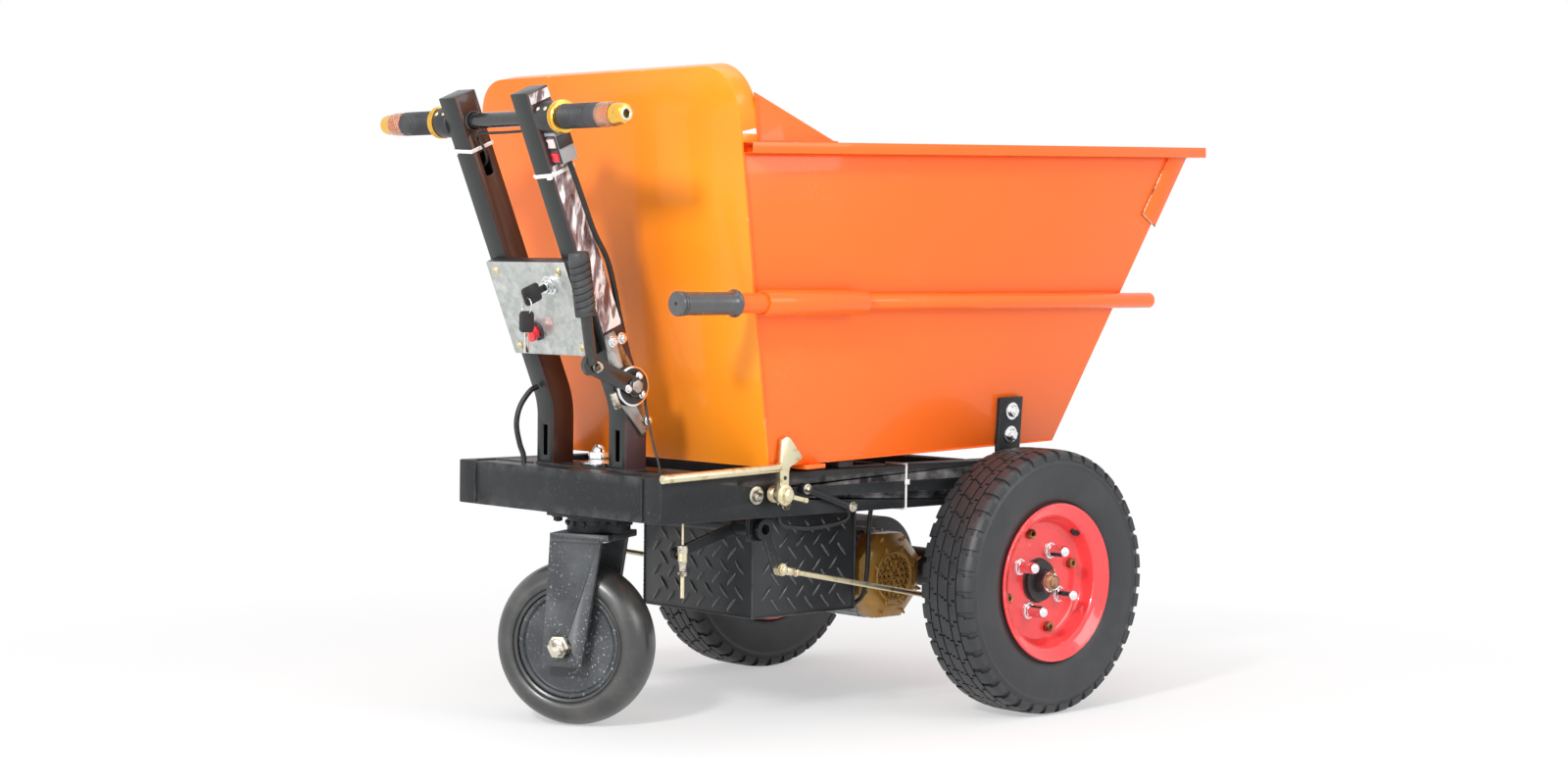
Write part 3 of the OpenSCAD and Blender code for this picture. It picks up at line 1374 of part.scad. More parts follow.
place() push_grips();
place() hinge_brackets();
place() wiring_loom();
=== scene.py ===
"""Concrete buggy: finishes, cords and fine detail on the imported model.

Metres in Blender. Places are written in millimetres in four frames of the cart:
  at()     counted from the ground below the drive axle
  COLUMN   the leaning uprights, z up their rear face and x into the tube
  TUB      the resting tub, counted from its hinge axis
  WHEEL    a drive wheel, y outwards from the middle of its tyre
"""
import json
from math import atan2, cos, pi, radians, sin, tan

import bmesh
import bpy
from mathutils import Matrix, Vector, noise


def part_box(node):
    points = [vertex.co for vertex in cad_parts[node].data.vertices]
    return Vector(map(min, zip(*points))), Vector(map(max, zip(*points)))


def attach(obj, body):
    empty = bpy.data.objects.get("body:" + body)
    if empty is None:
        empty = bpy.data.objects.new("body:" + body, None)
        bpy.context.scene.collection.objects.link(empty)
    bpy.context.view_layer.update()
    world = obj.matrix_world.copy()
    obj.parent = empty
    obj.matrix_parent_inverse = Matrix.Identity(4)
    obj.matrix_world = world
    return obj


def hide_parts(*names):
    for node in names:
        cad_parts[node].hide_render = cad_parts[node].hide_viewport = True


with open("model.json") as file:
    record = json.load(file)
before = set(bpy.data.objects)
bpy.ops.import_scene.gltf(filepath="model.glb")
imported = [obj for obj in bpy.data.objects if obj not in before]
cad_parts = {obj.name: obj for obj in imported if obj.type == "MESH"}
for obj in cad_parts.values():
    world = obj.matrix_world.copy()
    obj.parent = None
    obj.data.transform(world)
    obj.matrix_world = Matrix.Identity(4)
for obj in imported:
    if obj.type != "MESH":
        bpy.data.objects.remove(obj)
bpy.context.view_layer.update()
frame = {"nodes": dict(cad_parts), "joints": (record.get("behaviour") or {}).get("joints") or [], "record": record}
nodes = frame["nodes"]
joints = {joint["name"]: joint for joint in frame["joints"]}
MM = 0.001
TURN = 2 * pi

# Frames of the cart
tyre_low, tyre_high = (Vector(corner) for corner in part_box("right_tyre"))
AXLE_X = (tyre_low.x + tyre_high.x) / 2
WHEEL_R = 200
TRACK = 624
CASTOR_X = -594
CASTOR_R = 120
DECK_Z = 377.2
RIGHT = Vector((0, -1, 0))


def at(x, y, z):
    """A place in millimetres, counted from the ground below the drive axle."""
    return Vector((x * MM + AXLE_X, y * MM, z * MM))


def millimetres(x, y, z):
    return Vector((x, y, z)) * MM


def shifted(x, y, z):
    return Matrix.Translation(millimetres(x, y, z))


LEAN = radians(22.7)
COLUMN = Matrix.Translation(at(-636.5, 0, 481.7)) @ Matrix.Rotation(-LEAN, 4, "Y")
TUB_SEAT = radians(1.7)
TUB = Matrix.Translation(Vector(joints["tub_tip"]["pos_m"])) @ Matrix.Rotation(-TUB_SEAT, 4, "Y")
CASTOR_SWING = radians(63)
CASTOR = Matrix.Translation(at(CASTOR_X, 0, 0)) @ Matrix.Rotation(-CASTOR_SWING, 4, "Z")
CASTOR_AXLE = CASTOR @ shifted(-34, 0, CASTOR_R)
MIRROR_Y = Matrix.Diagonal((1, -1, 1, 1))
WHEEL = {
    "left": Matrix.Translation(at(0, TRACK / 2, WHEEL_R)),
    "right": Matrix.Translation(at(0, -TRACK / 2, WHEEL_R)) @ MIRROR_Y,
}
BAR = COLUMN @ shifted(19, 0, 411)
QUARTER_TURN = Matrix.Rotation(pi / 2, 4, "Z")
# Turns the axis of a lathed shape from y to z
AXIS_UP = Matrix.Rotation(pi / 2, 4, "X")


def on_column(x, y, up):
    return COLUMN @ millimetres(x, y, up)


def facing(place, out, spin=0.0):
    """A frame at a place whose z axis points out."""
    turn = Vector(out).normalized().to_track_quat("Z", "Y").to_matrix().to_4x4()
    return Matrix.Translation(place) @ turn @ Matrix.Rotation(spin, 4, "Z")


# Meshes
def gather(parts):
    """One bmesh out of several."""
    whole = bmesh.new()
    for part in parts:
        loose = bpy.data.meshes.new("loose")
        part.to_mesh(loose)
        part.free()
        whole.from_mesh(loose)
        bpy.data.meshes.remove(loose)
    return whole


def moved(bm, matrix):
    bmesh.ops.transform(bm, matrix=matrix, verts=bm.verts)
    if matrix.determinant() < 0:
        bmesh.ops.reverse_faces(bm, faces=bm.faces)
    return bm


def rounded(bm, offset, segments=2, sharper=30):
    """Rounds the edges of a bmesh that are sharper than an angle."""
    edges = [e for e in bm.edges if e.is_manifold and e.calc_face_angle(0) > radians(sharper)]
    bmesh.ops.bevel(bm, geom=edges, offset=offset * MM, segments=segments, profile=0.5,
                    affect="EDGES", material=-1, clamp_overlap=True)
    return bm


def slab(x, y, z, offset=0.0, segments=2):
    """A block between limits in millimetres, with rounded edges."""
    bm = bmesh.new()
    size = millimetres(x[1] - x[0], y[1] - y[0], z[1] - z[0])
    middle = millimetres(sum(x), sum(y), sum(z)) / 2
    bmesh.ops.create_cube(bm, size=1, matrix=Matrix.Translation(middle) @ Matrix.Diagonal((*size, 1)))
    return rounded(bm, offset, segments) if offset else bm


def round_bar(r_low, r_high, z, segments=32, offset=0.0):
    """A cylinder or cone along z, in millimetres."""
    bm = bmesh.new()
    bmesh.ops.create_cone(bm, cap_ends=True, segments=segments, radius1=r_low * MM, radius2=r_high * MM,
                          depth=(z[1] - z[0]) * MM, matrix=shifted(0, 0, sum(z) / 2))
    return rounded(bm, offset, 2, 45) if offset else bm


def eased(points, steps):
    """Points of a smooth curve through the given ones."""
    points = [Vector(p) for p in points]
    curve = []
    for i in range(len(points) - 1):
        a, b, c, d = (points[min(max(i + k, 0), len(points) - 1)] for k in (-1, 0, 1, 2))
        for step in range(steps):
            t = step / steps
            curve.append(b + t * (c - a) / 2 + t ** 2 * (a - 2.5 * b + 2 * c - d / 2)
                         + t ** 3 * (3 * b - 3 * c + d - a) / 2)
    return curve + [points[-1]]


def lathe(profile, steps=72):
    """Spins a profile of radius and height, in millimetres, round the y axis."""
    bm = bmesh.new()
    ring = [bm.verts.new((r * MM, h * MM, 0)) for r, h in profile]
    edges = [bm.edges.new(ends) for ends in zip(ring, ring[1:])]
    bmesh.ops.spin(bm, geom=ring + edges, cent=(0, 0, 0), axis=(0, 1, 0), angle=TURN, steps=steps,
                   use_merge=True)
    bmesh.ops.remove_doubles(bm, verts=bm.verts, dist=1e-6)
    bmesh.ops.recalc_face_normals(bm, faces=bm.faces)
    return bm


def turned(profile, steps, place, out):
    """A lathed shape that stands on a place, its axis pointing out."""
    return moved(lathe(profile, steps), facing(place, out) @ AXIS_UP)


def wire_section(r, wire, steps):
    """Round section of a ring of wire: radius and height."""
    return [(r + wire * cos(TURN * k / steps), wire * sin(TURN * k / steps)) for k in range(steps + 1)]


def bolt(place, out, r, height, washer=0.0, spin=0.0):
    """A hexagon bolt head with a rounded top, on its washer."""
    parts = []
    foot = 0
    if washer:
        foot = 0.18 * r + 0.6
        parts.append(round_bar(washer, washer, (-0.3, foot), 28, 0.3))
    parts.append(rounded(round_bar(r, r, (foot, foot + height), 6), 0.14 * r, 2, 45))
    parts.append(round_bar(0.55 * r, 0.45 * r, (foot + height - 0.2, foot + height + 0.12 * r), 20))
    return moved(gather(parts), facing(place, out, spin))


def screw(place, out, r):
    """A round screw head with a cross recess."""
    head = lathe([(0, 0.55 * r), (0.5 * r, 0.48 * r), (0.86 * r, 0.24 * r), (r, 0), (0.95 * r, -0.2)], 24)
    moved(head, AXIS_UP)
    bars = [slab((-0.55 * r, 0.55 * r), (-0.1 * r, 0.1 * r), (0.4 * r, 0.58 * r)),
            slab((-0.1 * r, 0.1 * r), (-0.55 * r, 0.55 * r), (0.4 * r, 0.58 * r))]
    return moved(gather([head, *bars]), facing(place, out, 0.4))


def cord_line(name, points, r, radii=None, sides=3):
    """A curve of one open spline through places in metres, with a round section."""
    line = bpy.data.curves.new(name, "CURVE")
    line.dimensions = "3D"
    line.bevel_depth = r
    line.bevel_resolution = sides
    line.use_fill_caps = True
    spline = line.splines.new("POLY")
    spline.points.add(len(points) - 1)
    for number, (point, place) in enumerate(zip(spline.points, points)):
        point.co = (*place, 1)
        point.radius = radii[number] if radii else 1
    return line


def along(points, step):
    """Places at even steps along straight runs."""
    places = []
    for a, b in zip(points, points[1:]):
        count = max(2, round((b - a).length / step))
        places += [a.lerp(b, k / count) for k in range(count)]
    return places + [points[-1]]


def bead(points, r=2.2, step=2.6):
    """A weld bead: a rippled cord along straight runs, in metres, half sunk in what it joins."""
    places = along(points, step * MM)
    radii = [0.86 + 0.16 * (k % 2) + 0.1 * sin(2.3 * k) for k in range(len(places))]
    return solid_of(cord_line("bead", places, r * MM, radii, 1))


def solid_of(line):
    """The bmesh of a curve's round section."""
    holder = bpy.data.objects.new("holder", line)
    bm = bmesh.new()
    bm.from_mesh(holder.to_mesh())
    holder.to_mesh_clear()
    bpy.data.objects.remove(holder)
    bpy.data.curves.remove(line)
    return bm


def tied(corners, wide, thick):
    """A closed flat tie round corners in metres, its width and thickness in millimetres."""
    line = bpy.data.curves.new("tie", "CURVE")
    line.dimensions = "3D"
    line.bevel_mode = "ROUND"
    line.bevel_depth = thick * MM / 2
    line.extrude = wide * MM / 2
    line.bevel_resolution = 1
    spline = line.splines.new("POLY")
    spline.points.add(len(corners) - 1)
    for point, place in zip(spline.points, corners):
        point.co = (*place, 1)
    spline.use_cyclic_u = True
    return solid_of(line)


def piece(name, bm, body, finish, smooth=35, replaces=()):
    """A finished piece at the origin, with its place in its mesh."""
    mesh = bpy.data.meshes.new(name)
    bm.to_mesh(mesh)
    bm.free()
    mesh.shade_smooth()
    mesh.set_sharp_from_angle(angle=radians(smooth))
    thing = bpy.data.objects.new(name, mesh)
    return settled(thing, body, finish, replaces)


def settled(thing, body, finish, replaces=()):
    bpy.context.scene.collection.objects.link(thing)
    thing.data.materials.append(finish)
    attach(thing, body)
    if replaces:
        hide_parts(*replaces)
    return thing


# Finishes
class Finish:
    """A material whose detail follows Object coordinates."""

    def __init__(self, name, color, rough, metal=0.0, coat=0.0, coat_rough=0.06, specular=0.5):
        self.material = bpy.data.materials.new(name)
        self.material.use_nodes = True
        self.tree = self.material.node_tree
        self.shader = self.tree.nodes["Principled BSDF"]
        self.color = (*color, 1)
        self.set("Base Color", self.color)
        self.set("Roughness", rough)
        self.set("Metallic", metal)
        self.set("Coat Weight", coat)
        self.set("Coat Roughness", coat_rough)
        self.set("Specular IOR Level", specular)
        self.coordinates = self.node("ShaderNodeTexCoord").outputs["Object"]
        self.height = None

    def set(self, socket, value):
        self.shader.inputs[socket].default_value = value
        return self

    def node(self, kind, inputs=(), **settings):
        made = self.tree.nodes.new(kind)
        for key, value in settings.items():
            setattr(made, key, value)
        for key, value in dict(inputs).items():
            if isinstance(value, bpy.types.NodeSocket):
                self.tree.links.new(value, made.inputs[key])
            else:
                made.inputs[key].default_value = value
        return made

    def mapped(self, scale=(1, 1, 1), turn=(0, 0, 0)):
        inputs = {"Vector": self.coordinates, "Scale": scale, "Rotation": turn}
        return self.node("ShaderNodeMapping", inputs).outputs["Vector"]

    def noise(self, scale, detail=4.0, stretch=(1, 1, 1), rough=0.55, warp=0.0):
        inputs = {"Vector": self.mapped(stretch), "Scale": scale, "Detail": detail, "Roughness": rough,
                  "Distortion": warp}
        return self.node("ShaderNodeTexNoise", inputs).outputs["Fac"]

    def cells(self, scale):
        """A shade of its own for each cell."""
        inputs = {"Vector": self.mapped(), "Scale": scale}
        return self.node("ShaderNodeTexVoronoi", inputs, feature="F1").outputs["Color"]

    def span(self, value, low, high, to_low=0.0, to_high=1.0):
        inputs = {"Value": value, "From Min": low, "From Max": high, "To Min": to_low, "To Max": to_high}
        return self.node("ShaderNodeMapRange", inputs).outputs["Result"]

    def axis(self, name, low, high):
        """0 to 1 along an object axis, in metres."""
        split = self.node("ShaderNodeSeparateXYZ", {"Vector": self.coordinates})
        return self.span(split.outputs[name], low, high)

    def times(self, a, b):
        return self.node("ShaderNodeMath", {0: a, 1: b}, operation="MULTIPLY", use_clamp=True).outputs[0]

    def edge(self, radius, low, high):
        """1 along sharp edges, 0 on flat faces."""
        bevel = self.node("ShaderNodeBevel", {"Radius": radius * MM}, samples=4)
        flat = self.node("ShaderNodeNewGeometry")
        dot = self.node("ShaderNodeVectorMath", operation="DOT_PRODUCT")
        self.tree.links.new(bevel.outputs["Normal"], dot.inputs[0])
        self.tree.links.new(flat.outputs["True Normal"], dot.inputs[1])
        return self.span(dot.outputs["Value"], 1 - low, 1 - high)

    def tint(self, fac, color):
        """Mixes another colour over the base where fac is 1."""
        mix = self.node("ShaderNodeMix", data_type="RGBA")
        under = self.shader.inputs["Base Color"]
        if under.is_linked:
            self.tree.links.new(under.links[0].from_socket, mix.inputs["A"])
        else:
            mix.inputs["A"].default_value = self.color
        mix.inputs["B"].default_value = (*color, 1)
        self.tree.links.new(fac, mix.inputs["Factor"])
        self.tree.links.new(mix.outputs["Result"], under)
        return self

    def rough(self, fac, low, high):
        self.tree.links.new(self.span(fac, 0, 1, low, high), self.shader.inputs["Roughness"])
        return self

    def bump(self, height, strength, depth):
        """A bump of a height in millimetres, over the ones set before."""
        made = self.node("ShaderNodeBump", {"Height": height, "Strength": strength, "Distance": depth * MM})
        if self.height:
            self.tree.links.new(self.height, made.inputs["Normal"])
        self.height = made.outputs["Normal"]
        self.tree.links.new(self.height, self.shader.inputs["Normal"])
        return self


def tub_paint(name, color, deep, pale, gloss=0.3, sheen=0.34, left=None):
    """Orange or red paint with soft clouding, orange peel, pale marks along its edges that are part chipped paint
    and part painted highlight, and, where left is given, painted shade deepening it towards +y.
    """
    paint = Finish(name, color, sheen, coat=gloss, coat_rough=0.05, specular=0.3)
    cloud = paint.noise(2.2, 2, warp=0.4)
    paint.tint(paint.span(cloud, 0.5, 0.75, 0, 0.45), deep)
    paint.tint(paint.span(cloud, 0.48, 0.28, 0, 0.35), pale)
    # Painted shade: the left colour deepens the paint towards +y, the rear panel's shaded left part.
    if left:
        paint.tint(paint.axis("Y", -0.12, 0.2), left)
    # Pale along sharp edges: part chipped paint, part painted highlight.
    chips_and_edge_highlight = paint.times(paint.edge(2.5, 0.05, 0.3), paint.span(paint.noise(46, 6), 0.6, 0.66))
    paint.tint(chips_and_edge_highlight, (0.82, 0.7, 0.6))
    patches = paint.span(paint.noise(7, 5), 0.55, 0.8, 0, 0.35)
    dust = paint.times(patches, paint.span(paint.noise(160, 3), 0.45, 0.7))
    paint.tint(dust, (0.86, 0.3, 0.12))
    paint.rough(paint.noise(14, 4), sheen - 0.08, sheen + 0.08)
    paint.bump(paint.noise(420, 2), 0.1, 0.25)
    paint.bump(paint.noise(5, 2), 0.3, 2.5)
    return paint.material


def black_paint(name, color, rough, coat, worn, specular=0.5):
    """Black paint on steel tube: runs, dust, and grey along its edges that is part wear and part painted
    highlight.
    """
    paint = Finish(name, color, rough, coat=coat, coat_rough=0.12, specular=specular)
    streak = paint.noise(9, 5, stretch=(1, 1, 0.35))
    paint.tint(paint.span(streak, 0.52, 0.8, 0, 0.35), (0.075, 0.078, 0.082))
    paint.tint(paint.span(paint.noise(230, 4), 0.62, 0.78, 0, 0.5), (0.13, 0.13, 0.13))
    # Grey along sharp edges, scaled by worn: part rubbed wear, part painted highlight.
    rub_and_edge_highlight = paint.times(paint.edge(1.8, 0.05, 0.35), paint.span(paint.noise(38, 5), 0.4, 0.66))
    paint.tint(paint.times(rub_and_edge_highlight, worn), (0.3, 0.3, 0.3))
    paint.rough(paint.noise(24, 5), rough - 0.1, rough + 0.18)
    paint.bump(paint.noise(300, 3), 0.16, 0.3)
    return paint.material


def bare_metal(name, color, rough, spot, spot_share, grain=(1, 1, 1), fine=220):
    """Plated or bare metal with spotting and fine marks."""
    metal = Finish(name, color, rough, metal=1.0)
    spots = metal.span(metal.noise(70, 6), 0.66 - spot_share, 0.8 - spot_share)
    metal.tint(spots, spot)
    metal.rough(metal.noise(fine, 4, stretch=grain), rough - 0.08, rough + 0.16)
    metal.bump(metal.noise(fine, 4, stretch=grain), 0.15, 0.2)
    return metal.material


def moulded(name, color, rough, pale, grain=650, strength=0.2, coat=0.0, specular=0.5):
    """Moulded rubber or plastic with a fine grain, dulled where it is handled."""
    rubber = Finish(name, color, rough, coat=coat, coat_rough=0.15, specular=specular)
    rubber.tint(rubber.span(rubber.noise(26, 5), 0.45, 0.75, 0, 0.6), pale)
    rubber.rough(rubber.noise(40, 4), rough - 0.1, rough + 0.12)
    rubber.bump(rubber.noise(grain, 3), strength, 0.25)
    return rubber.material


def galvanised_sheet():
    """Zinc spangle: pale cells, each with its own shade, with dull blooms."""
    zinc = Finish("galvanised_sheet", (0.55, 0.57, 0.55), 0.4, metal=0.75)
    shade = zinc.cells(150)
    zinc.tint(zinc.span(shade, 0.2, 0.9, 0, 0.6), (0.36, 0.39, 0.38))
    zinc.tint(zinc.span(zinc.noise(34, 5, warp=0.5), 0.5, 0.72, 0, 0.75), (0.72, 0.73, 0.7))
    zinc.tint(zinc.span(zinc.noise(12, 4), 0.6, 0.8, 0, 0.5), (0.3, 0.34, 0.33))
    zinc.rough(shade, 0.3, 0.55)
    zinc.bump(shade, 0.1, 0.2)
    return zinc.material


def column_paint():
    """Grey black coat on the uprights, with painted reflections of the orange tub: brown on their inner sides and
    purple brown on the right upright's outer face; grey along the edges is part wear and part painted highlight.
    """
    paint = Finish("column_black", (0.018, 0.022, 0.02), 0.34, coat=0.25, coat_rough=0.1, specular=0.3)
    paint.tint(paint.span(paint.noise(7, 4, stretch=(1, 1, 0.3)), 0.48, 0.8, 0, 0.5), (0.032, 0.037, 0.034))
    side = paint.node("ShaderNodeSeparateXYZ", {"Vector": paint.coordinates}).outputs["Y"]
    apart = paint.node("ShaderNodeMath", {0: side}, operation="ABSOLUTE").outputs[0]
    # Painted reflection: brown on the inner sides, where the uprights' gloss shows the orange tub.
    inner = paint.span(apart, 0.0665, 0.0634)
    painted_tub_reflection = paint.span(paint.noise(6, 3, stretch=(1, 1, 0.4)), 0.2, 0.7, 0.7, 1)
    paint.tint(paint.times(inner, painted_tub_reflection), (0.05, 0.017, 0.011))
    # Painted reflection: purple brown on the right upright's outer face, standing for the orange tub in its gloss.
    outer = paint.span(side, -0.0975, -0.1006)
    purple = paint.span(paint.noise(9, 4, stretch=(1, 1, 0.3)), 0.25, 0.7, 0.6, 1)
    paint.tint(paint.times(outer, purple), (0.085, 0.04, 0.045))
    # Grey along sharp edges: part rubbed wear, part painted highlight.
    rub_and_edge_highlight = paint.times(paint.edge(1.6, 0.05, 0.35), paint.span(paint.noise(38, 5), 0.46, 0.7))
    paint.tint(paint.times(rub_and_edge_highlight, 0.5), (0.3, 0.31, 0.3))
    paint.rough(paint.noise(24, 5), 0.24, 0.44)
    paint.bump(paint.noise(300, 3), 0.1, 0.25)
    paint.bump(paint.noise(16, 3, stretch=(1, 1, 0.4), warp=0.6), 0.2, 2.5)
    return paint.material


def packing_film():
    """Creased clear film: its purple brown is a painted reflection of the orange tub, and its pale streaks along
    the tube are painted highlights on the creases.
    """
    # The purple brown base is a painted reflection of the orange tub.
    film = Finish("packing_film", (0.12, 0.06, 0.062), 0.3, coat=0.8, coat_rough=0.08)
    lean = film.mapped((1, 1, 0.22), (0, LEAN, 0))
    creases = {"Vector": lean, "Scale": 70, "Detail": 5, "Distortion": 0.9}
    streak = film.node("ShaderNodeTexNoise", creases).outputs["Fac"]
    # Painted highlights: pale and white streaks along the creases.
    film.tint(film.span(streak, 0.38, 0.52, 0, 0.9), (0.42, 0.33, 0.33))
    film.tint(film.span(streak, 0.47, 0.54), (0.9, 0.87, 0.87))
    film.tint(film.span(film.noise(26, 4), 0.58, 0.7, 0, 0.6), (0.1, 0.05, 0.052))
    film.rough(film.noise(90, 4), 0.08, 0.34)
    film.bump(streak, 0.6, 1.4)
    return film.material


def tyre_rubber():
    """Charcoal rubber, dusty in its hollows, with a faint bloom on the side walls."""
    rubber = Finish("tyre_rubber", (0.028, 0.03, 0.033), 0.5)
    rubber.tint(rubber.span(rubber.noise(18, 6), 0.45, 0.8, 0, 0.6), (0.05, 0.053, 0.057))
    rubber.tint(rubber.span(rubber.noise(240, 4), 0.64, 0.8, 0, 0.45), (0.1, 0.098, 0.092))
    rubber.rough(rubber.noise(60, 5), 0.36, 0.56)
    rubber.bump(rubber.noise(520, 4), 0.2, 0.3)
    return rubber.material


def castor_rubber():
    """Smooth moulded rubber with a worn band that shines and brown dust."""
    rubber = Finish("castor_rubber", (0.034, 0.035, 0.036), 0.32, specular=0.8)
    rubber.tint(rubber.span(rubber.noise(22, 5), 0.45, 0.8, 0, 0.7), (0.11, 0.104, 0.092))
    rubber.tint(rubber.span(rubber.noise(130, 4), 0.64, 0.8, 0, 0.5), (0.2, 0.19, 0.17))
    rubber.rough(rubber.noise(18, 4), 0.2, 0.42)
    rubber.bump(rubber.noise(260, 4), 0.2, 0.3)
    return rubber.material


def castor_steel():
    """Dull grey black paint on plate, flecked where it is chipped to the metal."""
    plate = Finish("castor_steel", (0.034, 0.038, 0.043), 0.42, coat=0.1, coat_rough=0.3)
    plate.tint(plate.span(plate.noise(15, 5), 0.46, 0.78, 0, 0.75), (0.12, 0.127, 0.135))
    fine = plate.span(plate.noise(260, 5), 0.6, 0.68)
    flecks = plate.times(fine, plate.span(plate.noise(13, 3), 0.4, 0.62))
    plate.tint(flecks, (0.42, 0.43, 0.44))
    plate.tint(plate.times(plate.edge(2, 0.05, 0.35), 0.55), (0.34, 0.35, 0.36))
    plate.rough(plate.noise(40, 5), 0.36, 0.62)
    plate.bump(plate.noise(210, 5), 0.3, 0.5)
    return plate.material


def fan_cover_paint():
    """Ochre stove paint, cloudy where it pooled in the pressing."""
    paint = Finish("fan_cover_paint", (0.46, 0.235, 0.035), 0.36, metal=0.15, coat=0.4, coat_rough=0.1)
    paint.tint(paint.span(paint.noise(24, 4, warp=0.6), 0.46, 0.72, 0, 0.8), (0.62, 0.36, 0.08))
    paint.tint(paint.span(paint.noise(60, 5), 0.58, 0.76, 0, 0.6), (0.2, 0.08, 0.012))
    paint.tint(paint.times(paint.edge(2.5, 0.04, 0.3), 0.5), (0.75, 0.48, 0.16))
    paint.rough(paint.noise(34, 4), 0.26, 0.46)
    paint.bump(paint.noise(90, 4), 0.25, 0.6)
    return paint.material


def cord_sheath():
    """Black sheath, a little dusty."""
    sheath = Finish("cord_sheath", (0.012, 0.012, 0.013), 0.42)
    sheath.tint(sheath.span(sheath.noise(80, 4), 0.5, 0.8, 0, 0.5), (0.06, 0.06, 0.06))
    sheath.rough(sheath.noise(120, 3), 0.34, 0.56)
    sheath.bump(sheath.noise(700, 2), 0.1, 0.15)
    return sheath.material


def film_wrap():
    """Thin amber film over the bar ends, creased."""
    film = Finish("film_wrap", (0.85, 0.5, 0.34), 0.12, coat=0.6)
    film.set("Transmission Weight", 0.82).set("IOR", 1.2)
    film.tint(film.span(film.noise(60, 4, warp=1.2), 0.5, 0.7, 0, 0.8), (0.95, 0.72, 0.6))
    film.rough(film.noise(90, 4), 0.05, 0.3)
    film.bump(film.noise(110, 4, warp=1.0), 0.5, 1.2)
    return film.material


# The rear panel's left colour is painted shade, a deeper orange on its left part.
REAR_ORANGE = tub_paint("rear_panel_orange", (1.0, 0.29, 0.014), (0.96, 0.21, 0.011), (1.0, 0.34, 0.02),
                        0.25, left=(1.0, 0.18, 0.008))
ORANGE = tub_paint("tub_orange", (0.97, 0.155, 0.014), (0.92, 0.125, 0.011), (1.0, 0.19, 0.02))
RIM_RED = tub_paint("rim_red", (0.93, 0.06, 0.064), (0.82, 0.032, 0.044), (1.0, 0.1, 0.1), 0.9, 0.26)
FRAME_BLACK = black_paint("frame_black", (0.016, 0.018, 0.02), 0.4, 0.05, 0.7, specular=0.25)
COLUMN_BLACK = column_paint()
LEVER_BLACK = black_paint("lever_black", (0.014, 0.014, 0.015), 0.24, 0.6, 0.6)
BRACKET_GREY = bare_metal("bracket_grey", (0.42, 0.42, 0.41), 0.4, (0.1, 0.1, 0.1), 0.16)
DRIVE_BLACK = black_paint("drive_black", (0.028, 0.028, 0.03), 0.5, 0.0, 0.8)
BOX_BLACK = black_paint("battery_black", (0.026, 0.03, 0.034), 0.38, 0.15, 0.9)
# The tread bars take the full grey along their edges: part wear, part painted highlight.
BAR_BLACK = black_paint("tread_bar_black", (0.05, 0.054, 0.06), 0.24, 0.5, 1, specular=0.8)
CASTOR_STEEL = castor_steel()
CHROME = bare_metal("chrome", (0.84, 0.85, 0.87), 0.12, (0.6, 0.6, 0.62), 0.02)
ZINC = bare_metal("zinc_yellow", (0.78, 0.7, 0.48), 0.32, (0.5, 0.4, 0.2), 0.12)
BRONZE = bare_metal("bronze_thread", (0.5, 0.26, 0.14), 0.28, (0.16, 0.07, 0.03), 0.12)
ROUGH_ZINC = bare_metal("rough_zinc", (0.68, 0.64, 0.55), 0.42, (0.1, 0.085, 0.06), 0.2, fine=120)
RUSTY_BOLT = bare_metal("rusty_bolt", (0.4, 0.26, 0.12), 0.45, (0.12, 0.05, 0.02), 0.22)
GOLD = bare_metal("gold_anodised", (0.95, 0.56, 0.1), 0.2, (0.8, 0.4, 0.06), 0.05)
ALLOY = bare_metal("motor_alloy", (0.6, 0.61, 0.61), 0.45, (0.3, 0.3, 0.3), 0.12)
GALVANISED = galvanised_sheet()
TYRE = tyre_rubber()
CASTOR_RUBBER = castor_rubber()
GRIP = moulded("grip_rubber", (0.03, 0.031, 0.034), 0.5, (0.085, 0.086, 0.09))
PUSH_RUBBER = moulded("push_rubber", (0.05, 0.051, 0.055), 0.28, (0.08, 0.082, 0.086), 650, 0.06, 0.2, 0.9)
BLACK_PLASTIC = moulded("black_plastic", (0.018, 0.018, 0.02), 0.38, (0.05, 0.05, 0.053))
GREY_PLASTIC = moulded("grey_plastic", (0.3, 0.31, 0.32), 0.48, (0.42, 0.43, 0.44))
RED_PLASTIC = moulded("red_plastic", (0.72, 0.012, 0.03), 0.22, (0.85, 0.05, 0.06), 900, 0.05, 0.5)
PINK_PLASTIC = moulded("pink_plastic", (0.86, 0.6, 0.56), 0.26, (0.92, 0.76, 0.72), 900, 0.05, 0.5)
WHITE_NYLON = moulded("white_nylon", (0.84, 0.84, 0.83), 0.36, (0.72, 0.72, 0.7), 500, 0.08)
SHEATH = cord_sheath()
FILM = film_wrap()
PACKING_FILM = packing_film()
COVER = fan_cover_paint()

NODE_FINISH = {
    "frame_black": FRAME_BLACK, "column_black": LEVER_BLACK, "drive_black": DRIVE_BLACK,
    "castor_grey": CASTOR_STEEL, "tub_orange": ORANGE, "rim_red": RIM_RED, "battery_black": BOX_BLACK,
    "cover_brown": COVER, "galvanised": GALVANISED, "zinc_steel": ZINC, "chrome": CHROME,
    "gold_anodised": GOLD, "motor_alloy": ALLOY, "tyre": TYRE, "grip_rubber": GRIP,
    "push_rubber": PUSH_RUBBER, "black_plastic": BLACK_PLASTIC, "grey_plastic": GREY_PLASTIC,
    "red_plastic": RED_PLASTIC, "pink_plastic": PINK_PLASTIC, "cable_black": SHEATH,
}
# Nodes whose finish differs from their slot's
OWN_FINISH = {
    "rear_panel": REAR_ORANGE, "castor_pins": ROUGH_ZINC, "castor_tyre": CASTOR_RUBBER,
    "brake_bracket": BRACKET_GREY, "uprights": COLUMN_BLACK,
}
